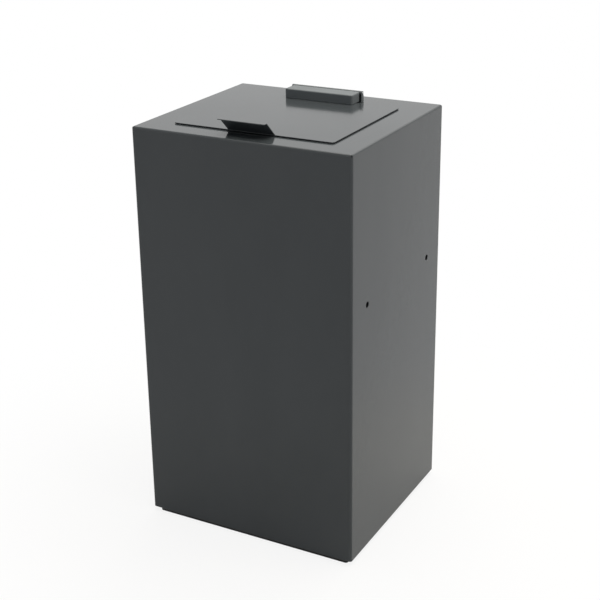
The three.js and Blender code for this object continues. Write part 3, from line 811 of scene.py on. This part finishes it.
def make_mat():
    low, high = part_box("floor_mat")
    xs, ys = mat_lines(low.x, high.x), mat_lines(low.y, high.y)
    mesh = bmesh.new()
    top = [[mesh.verts.new((x, y, high.z - mat_height(x, y, low, high))) for x in xs] for y in ys]
    for row, following in zip(top, top[1:]):
        for i in range(len(xs) - 1):
            mesh.faces.new((row[i], row[i + 1], following[i + 1], following[i]))
    rim = [e for e in mesh.edges if e.is_boundary]
    made = bmesh.ops.extrude_edge_only(mesh, edges=rim)["geom"]
    for vert in (v for v in made if isinstance(v, bmesh.types.BMVert)):
        vert.co.z = low.z
    bmesh.ops.holes_fill(mesh, edges=[e for e in mesh.edges if e.is_boundary], sides=0)
    bmesh.ops.recalc_face_normals(mesh, faces=mesh.faces)
    mat = loose("book_mat", mesh)
    finish_piece(mat, "casing", felt, ["floor_mat"])


make_mat()

# %% [markdown]
# ## The lid and its finger tab
#
# The lid is a flat plate that stands just proud of the casing's top. Its finger tab is folded up
# and forward from the front edge at forty-five degrees and ends in a short level lip. The tab is
# a folded sheet, joined to the plate so that the fold runs on without a seam.

# %% Lid
LID_CORNER = 6 * MM
TAB = {"half_width": 48 * MM, "reach": 27 * MM, "rise": 27 * MM, "lip": 8 * MM, "foot": 16 * MM}
LID_EDGE = 0.35 * MM


def make_lid():
    low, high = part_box("lid_plate")
    front = low.y + TAB["reach"] + TAB["lip"]
    lid = loose("lid", slab((low.x, front, low.z), (high.x, high.y, low.z + SHEET), LID_CORNER,
                            LID_EDGE, LID_EDGE))
    tip, tip_z = front - TAB["reach"], low.z + TAB["rise"]
    underside = [(front + TAB["foot"], low.z), (front + SHEET, low.z), (tip, tip_z),
                 (tip - TAB["lip"], tip_z)]
    half = TAB["half_width"]
    tab = prism(folded_outline(underside, -SHEET, inside=SHEET), "x", -half, half)
    carve(lid, [tab], "UNION")
    finish_piece(lid, "lid", anthracite, ["lid_plate"], EASED)


make_lid()

# %% [markdown]
# Under the plate a shallow pan keeps the lid flat. Beside it hang two sickle-shaped arms of zinc-
# plated steel. When the lid stands open, the catch at the end of each arm meets the rim of the
# drop opening from below and stops the lid from falling over backwards. Rubber pads under the
# lid's corners let it close quietly.

# %% Pan, arms, rivets and pads
PAN_BEND = 2 * MM
PAN_CORNER = 3 * MM
CLEARANCE = 0.3 * MM
RIVET = {"radius": 2.6 * MM, "height": 1.2 * MM, "shank": 1.5 * MM, "sides": 20}
PAD_RIM = 0.2 * MM
DOME_STEPS = 5


def make_pan():
    low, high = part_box("lid_stiffener")
    pan = loose("lid_pan", slab(low, high, PAN_CORNER, PAN_BEND))
    cuts = [slab(low + Vector((SHEET, SHEET, SHEET)), high + Vector((-SHEET, -SHEET, PAST)),
                 PAN_CORNER - SHEET, PAN_BEND - SHEET)]
    for place in ("front", "rear"):
        rivet = middle(f"arm_rivet_left_{place}")
        cuts.append(drill("x", RIVET["shank"] + CLEARANCE, rivet, low.x, high.x))
    carve(pan, cuts)
    finish_piece(pan, "lid", anthracite, ["lid_stiffener"], PUNCHED)


def dome(radius, seat, height):
    """Profile of a low round head, from its rim to its top."""
    return [(max(radius * math.cos(t), TINY), seat + height * math.sin(t))
            for t in quarter_steps(DOME_STEPS)]


def make_domed(name, axis, body, radius, height, shank=None, sides=TURN_SIDES):
    """A pin or a rivet: a low dome at each end, and a thinner shank between if one is given."""
    start, end = ends(name, axis)
    last = dome(radius, end - height, height)
    first = [(r, start + end - along) for r, along in reversed(last)]
    neck = [(shank, start + height), (shank, end - height)] if shank else []
    piece = loose(name + "_domed", turned(first + neck + last, axis, middle(name), sides))
    finish_piece(piece, body, zinc, [name])


def make_pad(name):
    low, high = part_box(name)
    radius = (high.x - low.x) / 2
    profile = [(radius - PAD_RIM, low.z), (radius, low.z + PAD_RIM), (radius, high.z)]
    pad = loose(name + "_pad", turned(profile, "z", middle(name)))
    finish_piece(pad, "lid", rubber, [name])


make_pan()
for side in ("left", "right"):
    dress(frame["nodes"][f"lid_stop_arm_{side}"], zinc, EASED)
    for place in ("front", "rear"):
        make_domed(f"arm_rivet_{side}_{place}", "x", "lid", **RIVET)
        make_pad(f"lid_buffer_{side}_{place}")

# %% [markdown]
# ## The raised lid hinge
#
# A solid block lifts the hinge clear of the top, so that the lid can swing back past its own
# rear edge. Its edges are well rounded, which the slab function does by itself, and its screw
# holes are cut from below and from behind.

# %% Hinge block
BLOCK_EDGE = 2.4 * MM
BLOCK_CORNER = 4.5 * MM
BLOCK_FOOT = 0.4 * MM
BLOCK_HOLE = 2.8 * MM
LEAF_HOLE = 1.9 * MM


def blind_hole(axis, radius, name, face, way):
    """A rod for a screw that points up an axis, way 1, or down it: from past a face to its tip."""
    start, end = ends(name, axis)
    start, end = (face - PAST, end + CLEARANCE) if way == 1 else (start - CLEARANCE, face + PAST)
    return rod(axis, radius, middle(name), start, end)


def make_hinge_block():
    low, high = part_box("hinge_block")
    block = loose("hinge_block_rounded", slab(low, high, BLOCK_CORNER, BLOCK_FOOT, BLOCK_EDGE))
    holes = []
    for i in (1, 2, 3):
        holes.append(blind_hole("z", BLOCK_HOLE, f"block_screw_{i}", low.z, 1))
        holes.append(blind_hole("y", LEAF_HOLE, f"leaf_screw_{i}", high.y, -1))
    carve(block, holes)
    # The block takes the paler coat: painted light on its shaded front.
    finish_piece(block, "lid", shade_lightened_coat, ["hinge_block"])


make_hinge_block()

# %% [markdown]
# Behind the block a leaf and a solid bar are held by one pin: the leaf turns with the lid, and
# the bar stays on the casing. Both are rolled round the pin in alternate knuckles. A knuckle is
# sheet that is curled until it nearly meets itself, so its outline is a straight foot, an arc
# over the pin and a smaller arc back.

# %% Knuckles rolled round the pin
LEAF = {"sheet": 1.5 * MM, "half_width": 71 * MM, "barrel": 4 * MM, "bore": 2.05 * MM,
        "slack": 0.4 * MM, "foot": 2 * MM}
KNUCKLES = 5
CURL_STEPS = 20
CURL_GAP = 0.35 * MM
HINGE_Y, HINGE_Z = joint_place("lid_hinge")[1:]


def knuckle_outline(side, foot_z):
    """A sheet that rises on one side of the pin and curls over it; side is -1 before, 1 behind."""
    outer, inner = LEAF["barrel"], LEAF["bore"]
    first, last = math.pi, -math.pi / 2 - CURL_GAP / inner
    turns = [first + (last - first) * i / CURL_STEPS for i in range(CURL_STEPS + 1)]
    drop = foot_z - HINGE_Z
    outline = [(-outer, drop)]
    outline += [(outer * math.cos(t), outer * math.sin(t)) for t in turns]
    outline += [(inner * math.cos(t), inner * math.sin(t)) for t in reversed(turns)]
    outline += [(LEAF["sheet"] - outer, 0), (LEAF["sheet"] - outer, drop)]
    return [(HINGE_Y - side * across, HINGE_Z + along) for across, along in outline]


def knuckle_spans(first):
    """Limits across X of every second knuckle, starting from the first or the second."""
    low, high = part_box("lid_hinge_leaf_fixed")
    step = (high.x - low.x + LEAF["slack"]) / KNUCKLES
    return [(low.x + i * step, low.x + (i + 1) * step - LEAF["slack"])
            for i in range(first, KNUCKLES, 2)]


def curls(side, first):
    foot_z = HINGE_Z - LEAF["barrel"] - LEAF["foot"]
    return [prism(knuckle_outline(side, foot_z), "x", *span) for span in knuckle_spans(first)]


print("knuckles:", [[round(x / MM, 1) for x in span] for span in knuckle_spans(0)])

# %% [markdown]
# Each half starts as a slab and is joined with its knuckles by a Boolean union, as a welded or
# rolled piece has no seam there. The leaf is screwed to the back of the block. The bar is held by
# three screws from under the casing's top, so that no head shows, and a cheek closes each of its
# ends under the pin.

# %% The moving leaf and the fixed bar
REST = {"half_width": 68 * MM, "height": 17 * MM, "edge": 1.5 * MM, "corner": 2.2 * MM,
        "foot": 0.3 * MM}
CHEEK = SHEET
CHEEK_EDGE = 0.3 * MM
PIN_PLAY = 0.15 * MM
WEB_REACH = 4 * LEAF["slack"]
WEB_CORNER = 0.5 * MM
BELOW_BARREL = HINGE_Z - LEAF["barrel"] - LEAF["slack"]


def make_moving_leaf():
    low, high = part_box("lid_hinge_leaf_moving")
    half, rear = LEAF["half_width"], low.y + LEAF["sheet"]
    leaf = loose("lid_leaf_rolled", slab((-half, low.y, low.z), (half, rear, BELOW_BARREL), MM,
                                         axis="y"))
    carve(leaf, curls(-1, 1), "UNION")
    carve(leaf, [drill("y", LEAF_HOLE, middle(f"leaf_screw_{i}"), low.y) for i in (1, 2, 3)])
    # The leaf takes the paler hinge coat: painted light in the shaded crease by the knuckles.
    finish_piece(leaf, "lid", shade_lightened_coat, ["lid_hinge_leaf_moving"], CRISP)


def make_fixed_bar():
    low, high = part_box("lid_hinge_leaf_fixed")
    face, half = HINGE_Y + LEAF["barrel"], REST["half_width"]
    bar = loose("hinge_bar_rounded", slab(
        (-half, face + LEAF["slack"], low.z), (half, high.y, low.z + REST["height"]),
        REST["corner"], REST["foot"], REST["edge"],
    ))
    web = slab((low.x, face - LEAF["sheet"], low.z), (high.x, face + WEB_REACH, BELOW_BARREL),
               WEB_CORNER)
    cheeks = [slab((start, HINGE_Y - LEAF["barrel"], low.z), (start + CHEEK, face, HINGE_Z),
                   CHEEK_EDGE) for start in (low.x, high.x - CHEEK)]
    carve(bar, [web, *curls(1, 0), *cheeks], "UNION")
    holes = [rod("x", LEAF["bore"] + PIN_PLAY, (HINGE_Y, HINGE_Z), x - 2 * CHEEK, x + 2 * CHEEK)
             for x in (low.x, high.x)]
    holes += [blind_hole("z", FOOT_HOLE, f"foot_screw_{i}", low.z, 1) for i in (1, 2, 3)]
    carve(bar, holes)
    # The bar takes the paler hinge coat: painted light in the shaded crease by the knuckles.
    finish_piece(bar, "casing", shade_lightened_coat, ["lid_hinge_leaf_fixed"], CRISP)


make_moving_leaf()
make_fixed_bar()

# %% [markdown]
# ## Hinge pins
#
# A pin is a plain rod, and what makes it look made is its ends: each is a low dome, as a peening
# hammer or a header leaves it. The function that made the rivets makes the pins as well.

# %% Pins
PIN_DOME = 0.7 * MM
LID_PIN = 1.9 * MM
DOOR_PIN = 2.4 * MM

make_domed("lid_hinge_pin", "x", "casing", LID_PIN, PIN_DOME)
for height in ("lower", "upper"):
    make_domed(f"door_hinge_{height}_pin", "z", "casing", DOOR_PIN, PIN_DOME)

# %% [markdown]
# ## Screws
#
# The screws have low round heads with a hexagon socket, and their shanks carry a real thread:
# rings of alternating radius, which at this size look the same as a helix and stay a simple
# turned shape. A table gives the sizes of each kind in millimetres, and one function turns them.

# %% Screws
SCREWS = {
    "block_screw": {"axis": "z", "way": -1, "shank": 2.5, "head": 4.5, "head_height": 2.5,
                    "body": "lid", "count": 3},
    "leaf_screw": {"axis": "y", "way": 1, "shank": 1.6, "head": 3, "head_height": 1.8,
                   "body": "lid", "count": 3},
    "foot_screw": {"axis": "z", "way": -1, "shank": 2, "head": 4, "head_height": 2,
                   "body": "casing", "count": 3},
    "plinth_bolt": {"axis": "z", "way": 1, "shank": 3, "head": 5, "head_height": 3,
                    "body": "casing", "count": 4},
}
THREAD_PITCH = 0.8 * MM
THREAD_ROOT = 0.88
SCREW_TIP = 0.6
SCREW_SIDES = 24
HEAD = {"seat": 0.96, "foot": 0.05, "rim": 0.25}
SOCKET = {"mouth": 0.45, "radius": 0.36, "depth": 0.6, "sides": 6}


def thread(tip, way, pitch, rings, radii):
    """Rings half a pitch apart that take their radius from two by turns."""
    return [(radii[i % 2], tip + way * pitch * (i + 1) / 2) for i in range(rings)]


def make_screw(name, axis, way, shank, head, head_height, body):
    """A round-headed screw with a hexagon socket; way is 1 if its head is at the high end."""
    shank, head, head_height = shank * MM, head * MM, head_height * MM
    tip, top = ends(name, axis)[::way]
    seat = top - way * head_height
    rings = 2 * int(abs(seat - tip) / THREAD_PITCH) - 3
    profile = [(shank * SCREW_TIP, tip)]
    profile += thread(tip, way, THREAD_PITCH, rings, (shank * THREAD_ROOT, shank))
    profile += [(shank, seat - way * THREAD_PITCH), (shank, seat), (head * HEAD["seat"], seat)]
    rim = HEAD["rim"] * head_height
    profile += [(head, seat + way * HEAD["foot"] * head_height), (head, seat + way * rim)]
    crown = dome(head, 0.0, head_height - rim)
    profile += [(r, seat + way * (rim + h)) for r, h in crown if r > head * SOCKET["mouth"]]
    profile.append((head * SOCKET["mouth"], top))
    screw = loose(name + "_turned", turned(profile, axis, middle(name), SCREW_SIDES))
    socket = [(head * SOCKET["radius"], top - way * head_height * SOCKET["depth"]),
              (head * SOCKET["radius"], top + way * MM)]
    carve(screw, [turned(socket, axis, middle(name), SOCKET["sides"])])
    finish_piece(screw, body, zinc, [name])


for kind, facts in SCREWS.items():
    count = facts.pop("count")
    for i in range(count):
        make_screw(f"{kind}_{i + 1}", **facts)

# %% [markdown]
# ## The rear door
#
# The door is a tray of folded sheet that fills the doorway with a gap of three millimetres all
# round. Notches in its hinged edge make room for the two lift-off hinges. A hat-shaped rib runs
# down its inside, and a cam lock sits near the far edge.

# %% Door and rib
DOOR_FOLD = 2.5 * MM
DOOR_CORNER = 1.2 * MM
TRAY_CORNER = 0.5 * MM
HINGE_NOTCH = {"reach": 5.5 * MM, "half_height": 31 * MM}
LOCK_HOLE = 9.3 * MM
RIB_BRIM = 15 * MM
DOOR_AXIS = joint_place("door_hinge")[:2]


def make_door():
    low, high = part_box("rear_door")
    door = loose("door", slab(low, high, DOOR_CORNER, 0, DOOR_FOLD, axis="y"))
    cuts = [slab(low + Vector((SHEET, -PAST, SHEET)), high - Vector((SHEET, SHEET, SHEET)),
                 TRAY_CORNER, 0, DOOR_FOLD - SHEET, axis="y")]
    axis_x, axis_y = DOOR_AXIS
    reach, half = HINGE_NOTCH["reach"], HINGE_NOTCH["half_height"]
    for height in ("lower", "upper"):
        z = middle(f"door_hinge_{height}_pin").z
        cuts.append(slab((low.x - PAST, axis_y - reach, z - half),
                         (axis_x + reach, high.y + PAST, z + half), SHEET, axis="y"))
    cuts.append(drill("y", LOCK_HOLE, middle("lock_body"), high.y))
    carve(door, cuts)
    finish_piece(door, "door", anthracite, ["rear_door"], SHEARED)


def make_rib():
    low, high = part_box("door_rib")
    seat, back = high.y, low.y + SHEET
    first, last = low.x + RIB_BRIM, high.x - RIB_BRIM
    line = [(low.x, seat), (first, seat), (first, back), (last, back), (last, seat),
            (high.x, seat)]
    rib = loose("door_rib_folded", prism(folded_outline(line, -SHEET), "z", low.z, high.z))
    finish_piece(rib, "door", anthracite, ["door_rib"], SHEARED)


make_door()
make_rib()

# %% [markdown]
# Each lift-off hinge is two halves on one pin. A half is a barrel with a tab that is welded to
# the doorway or to the door, and a thin bead of weld fills the corner between them.

# %% Lift-off hinges
BARREL = {"radius": 4.5 * MM, "bore": 2.5 * MM, "chamfer": 0.4 * MM}
TAB_SHEET = 3 * MM
TAB_EDGE = 0.4 * MM
WELD = {"radius": 0.9 * MM, "sunk": 0.4 * MM, "shift": 0.2 * MM}


def make_hinge_half(name, body, inward):
    """inward is -1 for the half on the frame, whose tab points away from the door."""
    low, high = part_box(name)
    axis_x = DOOR_AXIS[0]
    tab_low, tab_high = (high.y - TAB_SHEET, high.y) if inward < 0 else tab_faces(name)
    left, right = (low.x, axis_x) if inward < 0 else (axis_x, high.x)
    half = loose(name + "_welded", rod("z", BARREL["radius"], DOOR_AXIS, low.z, high.z,
                                       BARREL["chamfer"]))
    tab = slab((left, tab_low, low.z), (right, tab_high, high.z), TAB_EDGE, TAB_EDGE, TAB_EDGE)
    bead_x = axis_x + inward * (BARREL["radius"] - WELD["sunk"])
    bead_y = tab_low if inward < 0 else tab_low + WELD["shift"]
    bead = rod("z", WELD["radius"], (bead_x, bead_y), low.z + MM, high.z - MM)
    carve(half, [tab, bead], "UNION")
    carve(half, [drill("z", BARREL["bore"], DOOR_AXIS, low.z, high.z)])
    finish_piece(half, body, anthracite, [name], CRISP)


def tab_faces(name):
    """The faces across Y of a door half's tab, read from the node's points beyond its barrel."""
    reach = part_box(name)[1].x - BARREL["radius"]
    ys = [v.co.y for v in frame["nodes"][name].data.vertices if v.co.x > reach]
    return min(ys), max(ys)


for height in ("lower", "upper"):
    make_hinge_half(f"door_hinge_{height}_frame_half", "casing", -1)
    make_hinge_half(f"door_hinge_{height}_door_half", "door", 1)

# %% [markdown]
# ## The cam lock
#
# The lock body is a threaded plated barrel with a round bezel, held by a nut behind the door. Its
# plug turns with the key and carries the cam, a flat lever that swings behind a bracket in the
# doorway. The key slot is a narrow upright cut with one small ward beside it.

# %% Lock body, plug and nut
LOCK = {"barrel": 9 * MM, "bezel": 11.5 * MM, "bezel_depth": 2 * MM, "bore": 6 * MM,
        "plug": 5.9 * MM, "sides": 48}
LOCK_PITCH = 1 * MM
LOCK_THREAD = 0.45 * MM
LOCK_START = 0.6 * MM
LOCK_EDGE = 0.12 * MM
LOCK_MOUTH = 0.5 * MM
NUT = {"face": 0.9, "cone": 1.04, "chamfer": 0.8 * MM}
BEZEL_ROUND = 1.2 * MM
BEZEL_FOOT = 0.2 * MM
PLUG_EDGE = 0.4 * MM
TANG = 3.2 * MM
KEY_SLOT = {"half_width": 0.9 * MM, "half_height": 3.8 * MM, "depth": 8 * MM, "round": 0.9}
WARD = {"half_height": 0.6 * MM, "reach": 1.7 * MM, "corner": 0.3 * MM}
CAM_THREAD = 2.3 * MM


def make_lock_body():
    low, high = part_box("lock_body")
    at = middle("lock_body")
    barrel, bezel, bore = LOCK["barrel"], LOCK["bezel"], LOCK["bore"]
    seat = high.y - LOCK["bezel_depth"]
    rings = 2 * int((seat - low.y) / LOCK_PITCH) - 2
    profile = [(barrel - LOCK_START, low.y)]
    profile += thread(low.y, 1, LOCK_PITCH, rings, (barrel, barrel - LOCK_THREAD))
    profile += [(barrel, seat - LOCK_PITCH / 2), (barrel, seat)]
    profile += [(bezel - BEZEL_FOOT, seat), (bezel, seat + BEZEL_FOOT)]
    profile += [(bezel - BEZEL_ROUND * (1 - math.cos(t)), high.y - BEZEL_ROUND * (1 - math.sin(t)))
                for t in quarter_steps(ROUND_STEPS)]
    body = loose("lock_barrel", turned(profile, "y", at, LOCK["sides"]))
    mouth = [(bore, low.y - PAST), (bore, high.y - LOCK_MOUTH),
             (bore + 2 * LOCK_MOUTH, high.y + LOCK_MOUTH)]
    carve(body, [turned(mouth, "y", at, LOCK["sides"])])
    finish_piece(body, "door", plate, ["lock_body"], LOCK_EDGE)


def make_lock_plug():
    low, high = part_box("lock_plug")
    at = middle("lock_body")
    tang_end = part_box("lock_body")[0].y
    radius = LOCK["plug"]
    profile = [(radius, tang_end), (radius, high.y - PLUG_EDGE), (radius - PLUG_EDGE, high.y)]
    plug = loose("lock_key_plug", turned(profile, "y", at, LOCK["sides"]))
    tang = slab((at.x - TANG, low.y, at.z - TANG), (at.x + TANG, tang_end + MM, at.z + TANG),
                PLUG_EDGE, axis="y")
    carve(plug, [tang], "UNION")
    width, height = KEY_SLOT["half_width"], KEY_SLOT["half_height"]
    start, end = high.y - KEY_SLOT["depth"], high.y + PAST
    slot = slab((at.x - width, start, at.z - height), (at.x + width, end, at.z + height),
                width * KEY_SLOT["round"], axis="y")
    half, reach = WARD["half_height"], WARD["reach"]
    ward = slab((at.x, start, at.z - half), (at.x + reach, end, at.z + half), WARD["corner"],
                axis="y")
    carve(plug, [slot, ward, drill("y", CAM_THREAD, at, low.y)])
    finish_piece(plug, "lock", plate, ["lock_plug"], CRISP)


def make_lock_nut():
    low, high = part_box("lock_nut")
    at = middle("lock_body")
    across = (high.x - low.x) / 2
    nut = loose("lock_ring_nut", turned([(across, low.y), (across, high.y)], "y", at, 6))
    widest = across * NUT["cone"]
    cone = [(across * NUT["face"], low.y), (widest, low.y + NUT["chamfer"]), (widest, high.y)]
    carve(nut, [turned(cone, "y", at, LOCK["sides"])], "INTERSECT")
    carve(nut, [drill("y", LOCK["barrel"] + CLEARANCE, at, low.y, high.y)])
    finish_piece(nut, "door", zinc, ["lock_nut"], SHEARED)


make_lock_body()
make_lock_plug()
make_lock_nut()

# %% [markdown]
# The cam is right as the engineering model has it and only gets its finish. The brackets behind
# the doorway's edges, which the cam and the door meet, are folded channels. A folded outline
# pushed along Z gives them the small bend radii that the engineering model leaves out.

# %% Cam, its screw and the brackets in the doorway
BRACKETS = {"lock_strike": "lock_keeper", "door_stop_lower": "stop_bracket_lower",
            "door_stop_upper": "stop_bracket_upper"}
STRIKE_LEG = 14 * MM


def make_bracket(node_name, name):
    """A channel: its long inner leg stops the door, its short outer leg is welded to the frame."""
    low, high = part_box(node_name)
    line = [(low.x, low.y), (high.x, low.y), (high.x, high.y), (high.x - STRIKE_LEG, high.y)]
    bracket = loose(name, prism(folded_outline(line, SHEET), "z", low.z, high.z))
    finish_piece(bracket, "casing", zinc, [node_name], PUNCHED)


for node_name, name in BRACKETS.items():
    make_bracket(node_name, name)
dress(frame["nodes"]["lock_cam"], zinc, EASED)
make_screw("cam_screw", axis="y", way=-1, shank=2, head=4.5, head_height=2, body="lock")

# %% [markdown]
# ## The floor
#
# The box stands on a plain white studio floor. Lighting a floor until it looks white would flood
# the box as well, so the white is given by Light Path: what the camera, a reflection or a clear
# piece sees of the floor is mixed towards white, and the light that the floor spreads stays
# natural. Near the box the mix is not complete, so the soft shadow stays, and the box's own faces
# mirror more of that shadow than the eye sees. Farther out the mix is complete, so the floor runs
# into the background without a line.

# %% White floor
FLOOR_HALF = 6.0
FLOOR_DEPTH = 0.02
FLOOR_CORNER = 0.1
FLOOR_COLOUR = (0.78, 0.78, 0.78, 1)
FLOOR_ROUGHNESS = 0.9
FLOOR_LIFT = 0.86
MIRROR_LIFT = 0.35
FADE = {"start": 0.35, "end": 1.0}


def seen_directly(tree):
    """1 for what the camera, a reflection or a clear piece sees, 0 for the light that spreads."""
    ray = tree.nodes.new("ShaderNodeLightPath").outputs
    seen = math_node(tree, "MAXIMUM", ray["Is Camera Ray"], ray["Is Glossy Ray"])
    return math_node(tree, "MAXIMUM", seen, ray["Is Transmission Ray"])


def make_floor():
    floor = loose("studio_floor", slab((-FLOOR_HALF, -FLOOR_HALF, -FLOOR_DEPTH),
                                       (FLOOR_HALF, FLOOR_HALF, 0), FLOOR_CORNER))
    material = bpy.data.materials.new("white studio floor")
    material.use_nodes = True
    tree = material.node_tree
    shader = tree.nodes["Principled BSDF"]
    shader.inputs["Base Color"].default_value = FLOOR_COLOUR
    shader.inputs["Roughness"].default_value = FLOOR_ROUGHNESS
    shader.inputs["Specular IOR Level"].default_value = 0.0
    away = node(tree, "ShaderNodeVectorMath", {0: object_place(tree)}, operation="LENGTH")
    by_eye = tree.nodes.new("ShaderNodeLightPath").outputs["Is Camera Ray"]
    lift = node(tree, "ShaderNodeMapRange", {
        "Value": away.outputs["Value"],
        "From Min": FADE["start"],
        "From Max": FADE["end"],
        "To Min": between(tree, by_eye, MIRROR_LIFT, FLOOR_LIFT),
        "To Max": 1.0,
    }, interpolation_type="SMOOTHSTEP")
    whitened = math_node(tree, "MULTIPLY", lift.outputs["Result"], seen_directly(tree))
    white = node(tree, "ShaderNodeEmission", {"Color": (1, 1, 1, 1), "Strength": 1.0})
    both = node(tree, "ShaderNodeMixShader", {
        0: whitened, 1: shader.outputs["BSDF"], 2: white.outputs["Emission"],
    })
    tree.links.new(both.outputs["Shader"], tree.nodes["Material Output"].inputs["Surface"])
    floor.data.materials.append(material)


make_floor()
print("floor is", 2 * FLOOR_HALF, "m wide")

# %% [markdown]
# ## The light
#
# The world is white to the eye and in reflections, and gives only a weak even light otherwise.
# That white, mirrored at a low angle, is what makes the dark top shine pale. A broad lamp above
# adds to it, one behind lights the rear edges, one on the right lights the side, and a weak one
# in front leaves the front face the darkest. All are large, so every shadow is soft.

# %% World and lamps
AMBIENT = 0.37
AMBIENT_COLOUR = (0.97, 0.98, 1, 1)


def make_world():
    world = bpy.data.worlds.new("studio")
    bpy.context.scene.world = world
    world.use_nodes = True
    tree = world.node_tree
    tree.nodes.clear()
    ambient = node(tree, "ShaderNodeBackground", {"Color": AMBIENT_COLOUR, "Strength": AMBIENT})
    white = node(tree, "ShaderNodeBackground", {"Color": (1, 1, 1, 1), "Strength": 1.0})
    mixed = node(tree, "ShaderNodeMixShader", {
        0: seen_directly(tree), 1: ambient.outputs["Background"], 2: white.outputs["Background"],
    })
    out = tree.nodes.new("ShaderNodeOutputWorld")
    tree.links.new(mixed.outputs["Shader"], out.inputs["Surface"])


def make_lamp(name, azimuth, elevation, distance, size, watts, colour=(1, 1, 1)):
    data = bpy.data.lights.new(name, "AREA")
    data.shape = "RECTANGLE"
    data.size, data.size_y = size
    data.energy = watts
    data.color = colour
    lamp = bpy.data.objects.new(name, data)
    bpy.context.scene.collection.objects.link(lamp)
    away = direction(azimuth, elevation)
    lamp.location = (cad_low + cad_high) / 2 + away * distance
    lamp.rotation_euler = away.to_track_quat("Z", "Y").to_euler()
    lamp.visible_camera = False
    print(f"{name}: {watts} W at {distance} m")


make_world()
make_lamp("lamp_behind", azimuth=190, elevation=45, distance=4.0, size=(4.0, 2.0), watts=20,
          colour=(1, 0.98, 0.95))
make_lamp("lamp_above", azimuth=150, elevation=80, distance=3.2, size=(3.0, 3.0), watts=122,
          colour=(1, 0.97, 0.87))
make_lamp("lamp_right", azimuth=95, elevation=36, distance=3.2, size=(2.0, 2.4), watts=29,
          colour=(1, 0.93, 0.81))
make_lamp("lamp_front", azimuth=-25, elevation=16, distance=4.0, size=(2.0, 1.6), watts=3)

# %% [markdown]
# ## Finishing
#
# Colours are shown as they are, with no film curve.

# %% Colour view
bpy.context.scene.view_settings.view_transform = "Standard"
